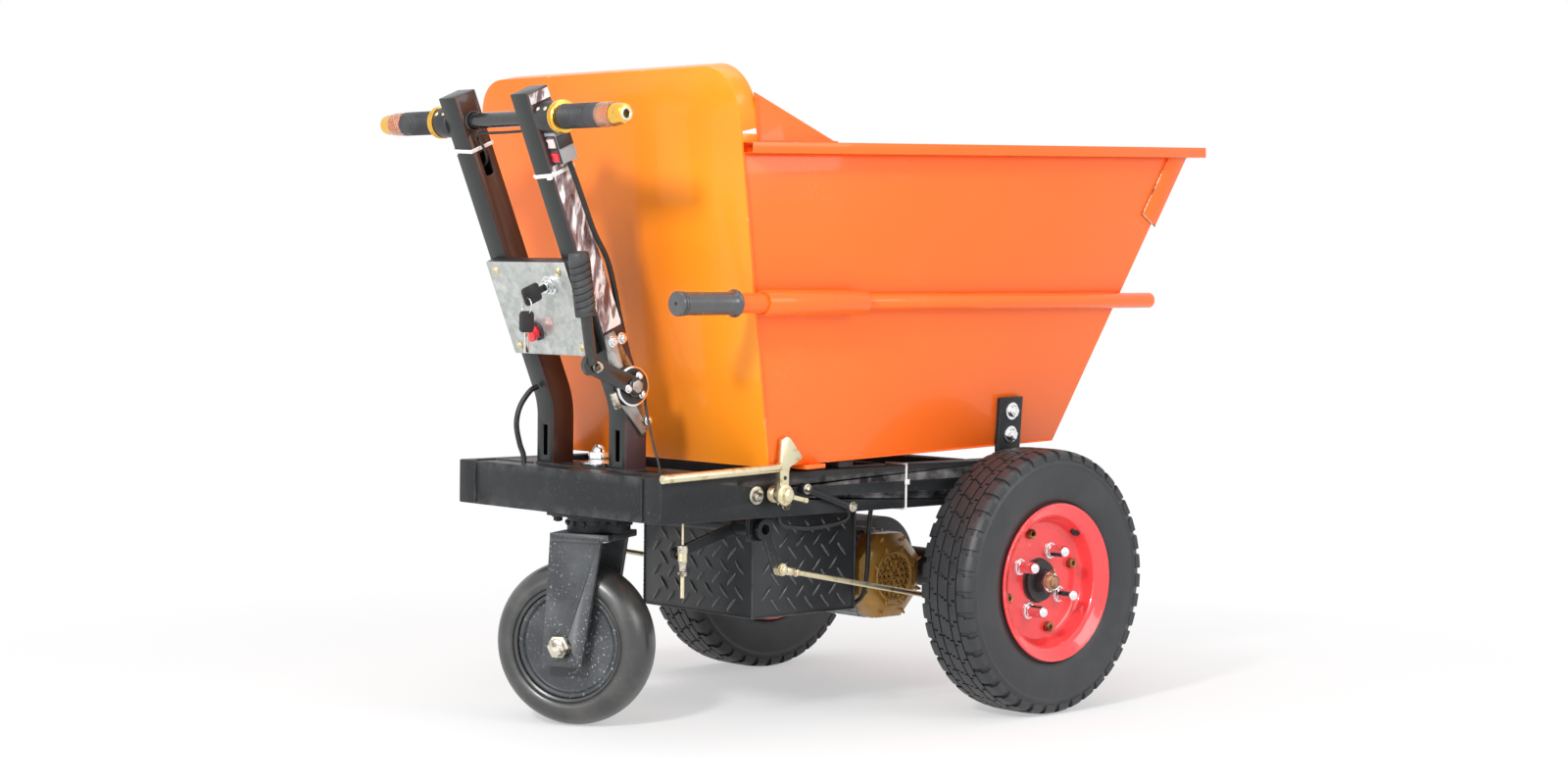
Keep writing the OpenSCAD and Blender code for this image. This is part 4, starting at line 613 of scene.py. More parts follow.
# Edge rounding of the plates and tubes, in millimetres
EDGE = {
    "side_rails": 4, "cross_members": 2.5, "uprights": 3.5, "control_panel": 0.8, "panel_box": 1.5,
    "battery_box": 1.5, "battery_lid": 1, "rear_panel": 1.2, "side_panels": 1, "floor_panel": 1,
    "front_panel": 1, "tub_stiffeners": 1.2, "hinge_brackets": 1.5, "castor_fork": 1.8, "latch_lever": 1.2,
    "brake_lever": 1, "brake_bracket": 1, "frame_brackets": 1, "switch_pod": 2.5, "bar_clamps": 1.5,
    "brake_shaft": 0.8, "brake_arms": 0.8, "upper_rocker": 0.8, "lower_rocker": 0.8, "swivel_bearing": 1.2,
    "castor_pins": 0.8, "push_bars": 0.8, "push_button": 1.5, "key_switch": 0.8, "button_collar": 0.8,
    "pivot_bolts": 0.8, "axle_housing": 1.5, "rest_pads": 2, "motor_fan_cover": 1,
}


def dress_nodes():
    """Every CAD node takes its finish, and plates and tubes take rounded edges."""
    for row in frame["record"]["subparts"]:
        node = nodes[row["node"]]
        node.data.materials.clear()
        node.data.materials.append(OWN_FINISH.get(row["node"], NODE_FINISH[row["material_slot"]]))
        node.data.shade_smooth()
        if row["node"] in EDGE:
            joined = node.modifiers.new("joined", "WELD")
            joined.merge_threshold = 1e-5
            edge = node.modifiers.new("edge", "BEVEL")
            edge.width = EDGE[row["node"]] * MM
            edge.segments = 2
            edge.limit_method = "ANGLE"
            edge.angle_limit = radians(30)
            edge.use_clamp_overlap = True
            edge.harden_normals = False
        else:
            node.data.set_sharp_from_angle(angle=radians(30))


# Drive wheels
BEAD_R = 101.2
PITCH_STEPS = 9
TREAD_PITCHES = 40
TREAD_STEPS = PITCH_STEPS * TREAD_PITCHES
TREAD_DEPTH = 3.4
TREAD_FOOT = 183
GROOVES = ((9, 11.6), (25, 27.6))


def tyre_section():
    """Half of the tyre's base section from the bead to the middle of the tread: radius and half width."""
    wall = [(BEAD_R, 30), (108, 37), (114, 41.5), (119, 42.2), (121, 42), (123, 44.2), (134, 47.6),
            (148, 49.4), (162, 49.6), (172, 48.6)]
    rib = [(176, 48.4), (177.4, 49.3), (179, 49.3), (180.4, 48.2), (184, 47.4)]
    tread = [(190.6, 45.4), (193.8, 42.2), (195, 38), (195.6, 33), (196, 29)]
    for inner, outer in reversed(GROOVES):
        tread += [(196.3, outer), (196.3, inner)]
        tread += [(196.5, inner - 4), (196.5, inner - 7.4)] if inner > 10 else [(196.6, 6), (196.6, 3)]
    return wall + rib + tread


def sipe(step, y):
    """Tells whether a step round the tyre is cut at a width: sipes on the ribs, teeth on the shoulders."""
    width = abs(y)
    turn = 0 if y > 0 else 4
    if width > GROOVES[1][1]:
        return (step + turn) % PITCH_STEPS < (3 if width > 40 else 2)
    if width > GROOVES[0][1]:
        hook = 2 if width > 18 else 1 if width > 15 else 0
        return (step + turn + 3 + hook) % PITCH_STEPS == 0
    return (step + (5 if y > 3 else 6 if y > -3 else 7)) % PITCH_STEPS == 0


def drive_tyre(side):
    """Tyre of one drive wheel, its tread raised in blocks."""
    half = tyre_section()
    section = half + [(196.6, 0)] + [(r, -w) for r, w in reversed(half)] + [half[0]]
    bm = lathe(section, TREAD_STEPS)
    blocks = []
    for face in bm.faces:
        middle = face.calc_center_median() / MM
        radius = Vector((middle.x, middle.z)).length
        step = int(atan2(middle.z, middle.x) % TURN / TURN * TREAD_STEPS)
        grooved = any(low < abs(middle.y) < high for low, high in GROOVES)
        if radius > TREAD_FOOT and not grooved and not sipe(step, middle.y):
            blocks.append(face)
    raised = bmesh.ops.extrude_face_region(bm, geom=blocks)["geom"]
    bmesh.ops.delete(bm, geom=blocks, context="FACES_ONLY")
    for vert in (v for v in raised if isinstance(v, bmesh.types.BMVert)):
        radial = Vector((vert.co.x, 0, vert.co.z))
        radius = radial.length / MM
        shoulder = min(max((abs(vert.co.y) / MM - 36) / 10, 0), 1)
        sideways = Vector((0, 1 if vert.co.y > 0 else -1, 0))
        out = radial.normalized().lerp(sideways, 0.6 * shoulder).normalized()
        rise = min(max((radius - TREAD_FOOT + 1) / 7, 0.12), 1) * (TREAD_DEPTH + 0.6 * shoulder)
        vert.co += out * rise * MM
    bmesh.ops.remove_doubles(bm, verts=bm.verts, dist=1e-6)
    bmesh.ops.recalc_face_normals(bm, faces=bm.faces)
    moved(bm, WHEEL[side])
    piece(f"{side}_tyre_tread", bm, f"{side}_wheel", TYRE, 38, [f"{side}_tyre"])


DISC_Y = 9
RIM_T = 4
OUTER_DISH = 41
INNER_DISH = 51
LUG_TURN = radians(62)
LUG_R = 50
RIM_BOLT_R = 75
RIM_BOLT = [(0, 4), (3.4, 4), (3.7, 8.4), (6.4, 8.8), (7.4, 7.6), (7.6, 0)]
# Black disc of painted shade for the valve hole: radius and height.
VALVE_HOLE_SHADE = [(0, 0.6), (4.6, 0.8), (5, 1.8), (6.4, 2), (7.4, 1), (7.8, -1), (0, -1)]


def rim_half(depth, sheet):
    """Closed section of one half rim: disc, dish wall, gutter and rolled flange."""
    face = [(34, 0), (60, 0), (80, 0)]
    face += eased([(80, 0), (86, 1.2), (91, 5.4), (94.4, 13), (96.2, 0.5 * depth), (98, 0.66 * depth),
                   (102.4, 0.78 * depth), (109, 0.87 * depth), (115.4, 0.95 * depth)], 4)[1:]
    lip = eased([(115.4, 0.95 * depth), (118, depth - 0.4), (119.6, depth - 2.4), (119, depth - 5)], 4)[1:]
    back = [(r + 0.62 * sheet, h - sheet) for r, h in reversed(face[3:-2])]
    return face + lip + back + [(80, -sheet), (34, -sheet), (34, 0)]


def wheel_spot(side, r, angle, y):
    return WHEEL[side] @ millimetres(r * cos(angle), y, r * sin(angle))


def wheel_rim(side):
    """Split rim with its bolts, the wheel nuts, and a black disc of painted shade in the valve hole."""
    body = f"{side}_wheel"
    out = WHEEL[side].to_3x3() @ Vector((0, 1, 0))
    outer = moved(lathe(rim_half(OUTER_DISH, RIM_T), 96), shifted(0, DISC_Y, 0))
    inner = moved(lathe(rim_half(INNER_DISH, RIM_T), 96), shifted(0, DISC_Y - 2 * RIM_T, 0) @ MIRROR_Y)
    halves = moved(gather([outer, inner]), WHEEL[side])
    piece(f"{side}_rim_halves", halves, body, RIM_RED, 40, [f"{side}_rim"])
    rim_bolts = []
    wheel_nuts = []
    for k in range(4):
        angle = LUG_TURN + radians(90 * k)
        place = wheel_spot(side, RIM_BOLT_R, angle + radians(45), DISC_Y)
        rim_bolts.append(turned(RIM_BOLT, 24, place, out))
        place = wheel_spot(side, LUG_R, angle, DISC_Y)
        wheel_nuts.append(bolt(place, out, 11.2, 7, 12.4, spin=k))
    piece(f"{side}_rim_bolts", gather(rim_bolts), body, RUSTY_BOLT)
    piece(f"{side}_nut_seats", gather(wheel_nuts), body, CHROME)
    # Painted shade: a black disc where the valve hole shows dark.
    angle = LUG_TURN - radians(14)
    slope = WHEEL[side].to_3x3() @ Vector((-0.9 * cos(angle), 0.45, -0.9 * sin(angle)))
    valve_hole_disc = turned(VALVE_HOLE_SHADE, 28, wheel_spot(side, 95, angle, DISC_Y + 18), slope)
    piece(f"{side}_valve_hole_shade", valve_hole_disc, body, BLACK_PLASTIC)


AXLE_PIN_Y = 38.4


def axle_end(side):
    """Hub ring, washer, and the threaded end of the axle with its split pin."""
    body = f"{side}_wheel"
    ring = lathe([(31.4, 7.4), (33.4, 8.2), (33.6, 9.6), (31, 10.4), (30.4, 8.4), (31.4, 7.4)], 48)
    piece(f"{side}_hub_ring", moved(ring, WHEEL[side]), body, DRIVE_BLACK)
    washer = lathe([(10.2, 33.2), (15.4, 33.2), (16, 34), (15.4, 35.6), (10.2, 35.6), (10.2, 33.2)], 40)
    piece(f"{side}_axle_washer", moved(washer, WHEEL[side]), body, CHROME)
    profile = [(0, 43.6), (7, 43.6), (9.2, 42.6)]
    for k in range(4):
        profile += [(10.8, 41.6 - 2 * k), (9.9, 40.6 - 2 * k)]
    thread = lathe(profile + [(10.2, 33.6)], 40)
    pin = moved(round_bar(1.7, 1.7, (-14.5, 14.5), 12, 0.6), shifted(0, AXLE_PIN_Y, 0))
    eye = moved(lathe(wire_section(3.4, 1.4, 8), 20), shifted(0, AXLE_PIN_Y, 17) @ QUARTER_TURN)
    end = moved(gather([thread, pin, eye]), WHEEL[side])
    piece(f"{side}_axle_thread", end, body, BRONZE, 25)


# Castor
def castor_wheel():
    """Moulded tyre on its pressed disc, with the raised ring between them."""
    half = eased([(79.2, 32.4), (82.6, 34), (84.6, 32.6), (86.4, 35.6), (92, 37.4), (100, 36.4),
                  (107.6, 32.2), (113, 26.4), (117, 18.6), (119.2, 9.4), (CASTOR_R, 0)], 5)
    section = [tuple(p) for p in half]
    section += [(r, -w) for r, w in reversed(section[:-1])]
    tyre = moved(lathe(section + [section[0]], 120), CASTOR_AXLE)
    piece("castor_tyre_moulding", tyre, "castor_wheel", CASTOR_RUBBER, 40, ["castor_tyre"])
    face = [(10.2, 42), (22, 42), (24, 41), (24.6, 28)]
    face += eased([(28, 25.6), (50, 24.6), (64, 24.4), (69, 24.8), (71.4, 27.6), (74.2, 29.4), (77.6, 29.2),
                   (79, 27.4)], 4)
    face = [tuple(p) for p in face]
    disc = lathe(face + [(r, -w) for r, w in reversed(face)] + [face[0]], 96)
    piece("castor_disc_pressing", moved(disc, CASTOR_AXLE), "castor_wheel", CASTOR_STEEL, 40,
          ["castor_disc"])


RACE_STUDS = 16


def castor_fittings():
    """Welds and axle ends of the fork, the stem's dome nut, and the studs and bolts of the swivel."""
    welds = []
    tips = []
    for side in (-1, 1):
        run = [CASTOR @ millimetres(x, side * 53.32, 272.6) for x in (-52, 24)]
        welds.append(bead(run, 3.2, 3.2))
        out = CASTOR.to_3x3() @ Vector((0, side, 0))
        tips.append(bolt(CASTOR_AXLE @ millimetres(0, side * 65, 0), out, 13, 6, 0, 0.3))
    piece("castor_fork_welds", gather(welds), "castor", CASTOR_STEEL)
    piece("castor_axle_tips", gather(tips), "castor", ROUGH_ZINC)
    dome = moved(lathe([(0, 32), (5, 31), (9, 27.4), (11.2, 22.6), (11.4, 20.4), (13, 20)], 40), AXIS_UP)
    nut = moved(rounded(round_bar(17.8, 17.8, (6, 21), 6), 1.4, 2, 45), QUARTER_TURN)
    washer = lathe([(10, 0.2), (26.4, 0.2), (27, 1.6), (26.8, 5.6), (25.8, 6.6), (10, 6.8)], 56)
    stem = moved(gather([dome, nut, moved(washer, AXIS_UP)]), CASTOR @ shifted(0, 0, DECK_Z))
    piece("castor_stem_nut", stem, "castor", CHROME, 30)
    race = []
    for k in range(RACE_STUDS):
        spoke = Matrix.Rotation(TURN * k / RACE_STUDS, 4, "Z")
        place = at(CASTOR_X, 0, 296) + spoke @ millimetres(45, 0, 0)
        race.append(moved(round_bar(4, 3, (0, 4), 12, 0.8), facing(place, spoke @ Vector((1, 0, 0)))))
    for x in (-42, 42):
        for y in (-42, 42):
            race.append(bolt(at(CASTOR_X + x, y, 305), (0, 0, -1), 7, 6, 9, x + y))
    piece("swivel_race_studs", gather(race), "chassis", FRAME_BLACK)


# Handlebar, with profiles counted along the bar from its middle
BAR_SEAT = 11.4
GRIP_IN = 143.8
GRIP_END = 221
GRIP_RIBS = 15
UPRIGHT_IN = 63
UPRIGHT_OUT = 101
BAR_RING = [(BAR_SEAT, 131.4), (20.4, 131.4), (22.6, 132), (23, 133), (23, 135), (21.4, 135.6), (21.4, 137),
            (23, 137.8), (23, 141.6), (22, 143), (19, 143.4), (BAR_SEAT, 143.4), (BAR_SEAT, 131.4)]
BAR_TIP = [(BAR_SEAT, 221.4), (13.4, 221.4), (13.4, 236), (14.8, 236.6), (15, 238), (15, 246), (14.2, 246.8),
           (14.2, 248.4), (15, 249), (15, 256), (14.6, 257), (14.2, 266), (13.4, 270.6), (11, 272.6),
           (6.2, 273), (5.6, 272.2), (5.4, 266), (0, 266)]
BAR_PLUG = [(0, 266.4), (5.3, 266.4), (5.3, 266)]
BAR_LIP = [(5.8, 272.4), (6.4, 273.4), (8.6, 273.4), (9.2, 272.6), (5.8, 272.4)]
BAR_FILM = [(16.2, 221.6), (16.9, 222.6), (16.6, 228), (16.9, 233), (16.3, 238), (16.6, 244), (16.1, 249),
            (15.6, 250), (15.3, 246), (15.4, 232), (16.2, 221.6)]


def hand_grips():
    """Ribbed grips: the left one is fixed, and the right one is the throttle."""
    first, last = GRIP_IN + 6, GRIP_END - 26
    profile = [(BAR_SEAT, GRIP_IN), (17, GRIP_IN), (17.4, GRIP_IN + 1), (17.4, GRIP_IN + 4),
               (16.4, GRIP_IN + 5)]
    for k in range(GRIP_RIBS):
        y = first + (last - first) * k / (GRIP_RIBS - 1)
        profile += [(16.6, y), (17, y + 0.6), (17, y + 1.7), (16.6, y + 2.3), (16.1, y + 2.5),
                    (16.1, y + 3.2)]
    profile += [(16.4, last + 6), (17, last + 7), (17, GRIP_END - 1), (16.4, GRIP_END), (BAR_SEAT, GRIP_END),
                (BAR_SEAT, GRIP_IN)]
    for side, flip, body, node in (("left", Matrix(), "chassis", "left_grip"),
                                   ("right", MIRROR_Y, "throttle", "throttle_grip")):
        grip = moved(lathe(profile, 64), BAR @ flip)
        piece(f"{side}_hand_grip", grip, body, GRIP, 30, [node])


def bar_ends():
    """Anodised rings and bar ends with their plugs and lips, and the creased film on them."""
    gold = []
    plugs = []
    lips = []
    film = []
    for flip in (Matrix(), MIRROR_Y):
        place = BAR @ flip
        gold += [moved(lathe(BAR_RING, 64), place), moved(lathe(BAR_TIP, 56), place)]
        plugs.append(moved(lathe(BAR_PLUG, 24), place))
        lips.append(moved(lathe(BAR_LIP, 40), place))
        wrap = lathe(BAR_FILM, 64)
        for vert in wrap.verts:
            crease = 1 + 0.03 * noise.noise(vert.co * 130) + 0.02 * noise.noise(vert.co * 320)
            vert.co.x *= crease
            vert.co.z *= crease
        film.append(moved(wrap, place))
    piece("anodised_rings_and_ends", gather(gold), "chassis", GOLD, 30,
          ["gold_bar_fittings"])
    piece("bar_end_plugs", gather(plugs), "chassis", BLACK_PLASTIC)
    piece("bar_end_film", gather(film), "chassis", FILM)
    piece("bar_end_lips", gather(lips), "chassis", CHROME)


def bar_fastenings():
    """Screws of the bar clamps, and the welds between the bar and the uprights."""
    screws = []
    for side in (1, -1):
        for y in (108, 124):
            place = BAR @ millimetres(-14, side * y, 17)
            screws.append(screw(place, COLUMN.to_3x3() @ Vector((-0.6, 0, 0.8)), 3.2))
    piece("clamp_screws", gather(screws), "chassis", ZINC)
    seams = []
    for y in (UPRIGHT_IN, UPRIGHT_OUT, -UPRIGHT_IN, -UPRIGHT_OUT):
        ring = [BAR @ millimetres(13 * cos(TURN * k / 20), y, 13 * sin(TURN * k / 20)) for k in range(21)]
        seams.append(bead(ring, 2.2, 3))
    piece("handlebar_welds", gather(seams), "chassis", LEVER_BLACK)


FILM_RUNS = ((98, 345), (435, 449))
FILM_WIDE = 35


def column_film():
    """Creased packing film left on the right upright's outer face."""
    strips = []
    for low, high in FILM_RUNS:
        sheet = bmesh.new()
        bmesh.ops.create_grid(sheet, x_segments=14, y_segments=int((high - low) / 2), size=0.5)
        size = Matrix.Diagonal((FILM_WIDE * MM, (high - low) * MM, 1, 1))
        bmesh.ops.transform(sheet, matrix=size, verts=sheet.verts)
        for vert in sheet.verts:
            wave = Vector((vert.co.x * 130, vert.co.y * 34, 1))
            lift = noise.noise(wave) + 0.5 * noise.noise(vert.co * 210)
            vert.co.z += (0.7 + 0.6 * lift) * MM
        bmesh.ops.solidify(sheet, geom=sheet.faces, thickness=0.25 * MM)
        place = shifted(19, -UPRIGHT_OUT - 0.4, (low + high) / 2) @ AXIS_UP
        strips.append(moved(sheet, COLUMN @ place))
    piece("upright_film", gather(strips), "chassis", PACKING_FILM, 60)


BEZEL_X = (-13.4, -11.8)
BEZEL_Y = (-123.3, -102.3)


def switch_details():
    """Dark bezels round the two rockers, and the dark side of the upper switch."""
    bars = []
    for up in (-33.5, -53.5):
        for y in (BEZEL_Y[1] - 1.3, BEZEL_Y[0] + 1.3):
            bars.append(slab(BEZEL_X, (y - 1.3, y + 1.3), (up - 8.6, up + 8.6), 0.4))
        for z in (up - 9.2, up + 9.2):
            bars.append(slab(BEZEL_X, BEZEL_Y, (z - 0.9, z + 0.9), 0.4))
    bars.append(slab((-11.4, 14.4), (-124.9, -123.6), (-43, -25), 0.4))
    piece("switch_bezels", moved(gather(bars), BAR), "chassis", BLACK_PLASTIC)


# Control panel
PANEL_UP = 141
PANEL_FACE = -18.5
PANEL_OUT = COLUMN.to_3x3() @ Vector((-1, 0, 0))
PANEL_SCREWS = [(y, up) for y in (-71, 71) for up in (-58, 58)]
LOCK = Vector(joints["key_turn"]["pos_m"])
PILOT_LAMP = [(0, 6), (2.6, 5.4), (4.2, 3.4), (4.8, 0.8), (6, 0.6), (6.2, -0.2)]
LOCK_BEZEL = [(5.6, 0), (14, 0), (14.4, 1), (14, 3.2), (11.4, 4.2), (11, 8.4), (9.4, 9), (9.2, 12),
              (8.4, 13.2), (5.6, 13.2), (5.6, 0)]


def on_panel(y, up):
    return on_column(PANEL_FACE, y, PANEL_UP + up)


def panel_fittings():
    """Screws on washers, the pilot lamp and the lock's bezel on the galvanised plate."""
    screws = [screw(on_panel(*spot), PANEL_OUT, 5) for spot in PANEL_SCREWS]
    for spot in PANEL_SCREWS:
        screws.append(moved(round_bar(7, 7, (-0.2, 0.8), 24, 0.2), facing(on_panel(*spot), PANEL_OUT)))
    piece("panel_screws", gather(screws), "chassis", ZINC)
    lamp = turned(PILOT_LAMP, 32, on_panel(-16, -18), PANEL_OUT)
    piece("pilot_lamp", lamp, "chassis", PINK_PLASTIC)
    piece("lock_bezel", turned(LOCK_BEZEL, 48, LOCK, PANEL_OUT), "chassis", CHROME, 30)


def key_bow(half_width, up, corner):
    """The flat plastic bow of a key, its corners rounded."""
    bow = slab((-half_width, half_width), (-2, 2), up)
    edges = [e for e in bow.edges if abs((e.verts[0].co - e.verts[1].co).normalized().y) > 0.9]
    bmesh.ops.bevel(bow, geom=edges, offset=corner * MM, segments=4, profile=0.5, affect="EDGES", material=-1)
    return rounded(bow, 0.7, 2, 40)


def keys():
    """The key in its lock, and the spare key that hangs from it on a ring."""
    neck = slab((-4.6, 4.6), (-2.4, 2.4), (12.6, 23), 0.8)
    plug = round_bar(4.9, 4.9, (-2, 13), 32, 0.4)
    eye = lathe([(3.3, -2.3), (5.2, -2.3), (5.2, 2.3), (3.3, 2.3), (3.3, -2.3)], 28)
    key = gather([key_bow(13, (21, 51), 5), neck, plug, moved(eye, shifted(0, 0, 45))])
    out_of_lock = COLUMN.to_3x3().to_4x4() @ Matrix.Rotation(-pi / 2, 4, "Y")
    moved(key, Matrix.Translation(LOCK) @ out_of_lock)
    piece("ignition_key_head", key, "key", BLACK_PLASTIC, 30, ["ignition_key"])
    hang = Matrix.Translation(Vector(joints["spare_key_swing"]["pos_m"]))
    spare = moved(key_bow(12, (-49.6, -19.6), 6), hang)
    piece("spare_key_head", spare, "hanging_key", BLACK_PLASTIC, 30, ["spare_key"])
    ring = moved(lathe(wire_section(11, 1, 12), 48), hang @ shifted(0, 0, -12.6) @ QUARTER_TURN)
    blade = moved(slab((-3.8, 3.8), (-1, 1), (-78, -47), 0.5), hang)
    piece("key_ring_and_blade", gather([ring, blade]), "hanging_key", CHROME, 30)


# Parking brake
LEVER_FOOT = Vector((-52, 74))
LEVER_TOP = Vector((-17, 223))
LEVER_Y = -126.4
LEVER_GRIP = 90
GRIP_SLANT = 0.34
SHEAVE = Vector((10, 14))
SHEAVE_Y = -120.4
SHEAVE_RIM = [(25.6, 0.4), (28.4, 0), (28.8, -1), (28.4, -2.2), (28, -3), (25.6, -1), (25.6, 0.4)]
SHEAVE_HUB = [(6.2, 6), (12.4, 6), (13, 7), (12, 8.6), (6.2, 9)]


def lever_grip():
    """Rubber grip of the brake lever, its ribs at a slant."""
    run = (LEVER_TOP - LEVER_FOOT).normalized()
    top = LEVER_TOP + 5 * run
    profile = [(0, 0), (9, 0), (12.4, 1), (14.2, 3.4), (14.6, 6)]
    for k in range(8):
        y = 8 + k * 9.4
        profile += [(14.8, y), (15, y + 1), (15, y + 6.4), (14.7, y + 7.4), (13.2, y + 8), (13.2, y + 8.8)]
    profile += [(14.8, 84), (14.8, LEVER_GRIP - 1), (14, LEVER_GRIP), (8.4, LEVER_GRIP)]
    grip = lathe(profile, 48)
    for vert in grip.verts:
        height = vert.co.y / MM
        if height < 82:
            vert.co.y += GRIP_SLANT * vert.co.z * min(1, max(0, height - 6) / 4)
    down = COLUMN.to_3x3() @ Vector((-run.x, 0, -run.y))
    moved(grip, facing(on_column(top.x, LEVER_Y, top.y), down) @ AXIS_UP)
    piece("brake_lever_grip_ribs", grip, "parking_brake_lever", GRIP, 30, ["brake_lever_grip"])


def parking_brake():
    """Bolts of the lever's bracket, the rim, studs and hub of its sheave, and the bolt at its foot."""
    fixed = [bolt(on_column(x, -106, up), RIGHT, 6.4, 5, 8.4, x) for x, up in ((9, 82), (26, 80))]
    fixed.append(bolt(on_column(27, -106, -48), RIGHT, 5, 4, 7, 1))
    piece("brake_bracket_bolts", gather(fixed), "chassis", CHROME)
    hub = on_column(SHEAVE.x, SHEAVE_Y, SHEAVE.y)
    bright = [turned(SHEAVE_RIM, 56, hub, RIGHT)]
    for degrees in (50, 170, 290):
        a = radians(degrees)
        place = on_column(SHEAVE.x + 15 * cos(a), SHEAVE_Y - 6, SHEAVE.y + 15 * sin(a))
        bright.append(bolt(place, RIGHT, 4.6, 3.4, 6, a))
    piece("sheave_rim_and_studs", gather(bright), "parking_brake_lever", CHROME)
    cap = turned(SHEAVE_HUB, 40, hub, RIGHT)
    piece("sheave_hub", cap, "parking_brake_lever", BLACK_PLASTIC)
    foot = bolt(on_column(LEVER_FOOT.x + 6, LEVER_Y - 2, LEVER_FOOT.y - 6), RIGHT, 6, 6, 8, 0.4)
    anchor = moved(round_bar(5.4, 5.4, (-14, 10), 24, 0.8), facing(on_column(-22, -113, 4), (0.5, 0, -1)))
    piece("lever_foot_bolt", gather([foot, anchor]), "parking_brake_lever", ROUGH_ZINC)


ROD_TAIL = Vector((-436, 236))
ROD_HEAD = Vector((-31, 157))
ROD_Y = 216.4
ADJUSTER = [(3.2, 13), (6.4, 13), (7.4, 12), (7.6, 10), (7.6, 2), (6.6, 1), (6.6, -9), (7.2, -10), (5.6, -13),
            (4.4, -24), (3.2, -25)]


def brake_linkage():
    """Sleeves and lock nuts on the pull rods, their pin heads, and the adjuster's barrel with its nut."""
    run = (ROD_HEAD - ROD_TAIL).normalized()
    rods = []
    pins = []
    for side in (1, -1):
        for spot, way in ((ROD_TAIL, run), (ROD_HEAD, -run)):
            for near, r, size, segments in ((16, 6.4, 14, 24), (31, 6.8, 6, 6)):
                place = at(spot.x + way.x * near, side * ROD_Y, spot.y + way.y * near)
                collar = round_bar(r, r, (-size / 2, size / 2), segments, 0.8)
                rods.append(moved(collar, facing(place, (way.x, 0, way.y))))
        pins.append(bolt(at(ROD_TAIL.x, side * (ROD_Y + 6.2), ROD_TAIL.y), (0, side, 0), 6, 3, 7.4, 0.2))
    piece("pull_rod_nuts", gather(rods), "pull_rods", ZINC)
    piece("pull_rod_pin_heads", gather(pins), "brake_cross_shaft", ZINC)
    place = Matrix.Translation(Vector(joints["adjuster_swing"]["pos_m"])) @ shifted(0, -13, 0)
    barrel = moved(lathe(ADJUSTER, 32), place @ AXIS_UP)
    nut = moved(round_bar(7, 7, (-31, -25), 6, 0.8), place)
    piece("adjuster_barrel", gather([barrel, nut]), "adjuster", ROUGH_ZINC)


# Frame and latch
RAIL_Y = 190
FOOT_Z = 377.4
CROSS_X = (-634, -400, -360, -240, -198, -64, -22)


def frame_welds():
    """Weld beads at the frame's corners, along its cross rails and round the feet of the uprights."""
    welds = []

    def seam(start, end, r=2.0, step=2.6):
        welds.append(bead([at(*start), at(*end)], r, step))

    for side in (1, -1):
        y = side * RAIL_Y
        seam((-674.2, y, 315), (-674.2, y, 375))
        seam((-672, y, DECK_Z), (-636, y, DECK_Z))
        for x in CROSS_X:
            seam((x, side * (RAIL_Y - 0.4), 316), (x, side * (RAIL_Y - 0.4), 374), 2.2, 3)
        for y in (side * UPRIGHT_IN, side * UPRIGHT_OUT):
            seam((-630, y, FOOT_Z), (-592, y, FOOT_Z), 2.4, 3)
        for x in (-630, -591.5):
            seam((x, side * UPRIGHT_IN, FOOT_Z), (x, side * UPRIGHT_OUT, FOOT_Z), 2.4, 3)
    for start, end in ((-188, -104), (-60, 60), (104, 188)):
        seam((CROSS_X[0], start, DECK_Z), (CROSS_X[0], end, DECK_Z))
    piece("frame_welds", gather(welds), "chassis", FRAME_BLACK)


LATCH_X = -467
LATCH_Z = 347
LATCH_BOSS = [(6.2, 0), (14.5, 0), (15, 0.8), (14.6, 3), (10.6, 4), (10, 5.6), (6.2, 5.8), (6.2, 0)]
# Place, then radius, height, washer and turn of each bolt beside the latch
RAIL_BOLTS = (((-498, -230, 346), 9, 6, 13, 0.2), ((-440, -230, 330), 6, 4, 8.6, 0.5),
              ((-318, -243, 322), 5.4, 4, 7.4, 0.1), ((-410, -243, 352), 5.4, 4, 7.4, 0.6))


def frame_fasteners():
    """Bolts beside the latch, the latch's pivot, and the bolts of the tub's hinge."""
    small = [bolt(at(*place), RIGHT, *sizes) for place, *sizes in RAIL_BOLTS]
    piece("rail_bolts", gather(small), "chassis", ROUGH_ZINC)
    pivot = bolt(at(LATCH_X, -262.4, LATCH_Z), RIGHT, 10.2, 5, 0, 0.35)
    piece("latch_pivot_nut", pivot, "chassis", ZINC)
    # Painted shade: a black disc on the latch where its hole shows dark.
    hole_shade_disc = moved(round_bar(3, 3, (-0.4, 0.5), 20), facing(at(LATCH_X + 1, -256, LATCH_Z + 24), RIGHT))
    piece("latch_hole_shade", hole_shade_disc, "latch", BLACK_PLASTIC)
    boss = turned(LATCH_BOSS, 40, at(LATCH_X, -256, LATCH_Z), RIGHT)
    piece("latch_boss", boss, "latch", ZINC)
    hinge = []
    for side in (1, -1):
        normal = TUB.to_3x3() @ Vector((0, side, -0.0925))
        for z in (72, 108):
            place = TUB @ millimetres(0, side * (wall_y(z) + 8), z)
            hinge.append(bolt(place, normal, 9.6, 6.4, 13.4, 0.2 * z))
    piece("hinge_bracket_bolts", gather(hinge), "tub", CHROME)


SPRING_TURNS = 4
SPRING_STEPS = 24
SPRING_R = 11
SPRING_WIRE = 1.3
SPRING_LEG = 16
SPRING_Y = 231.7


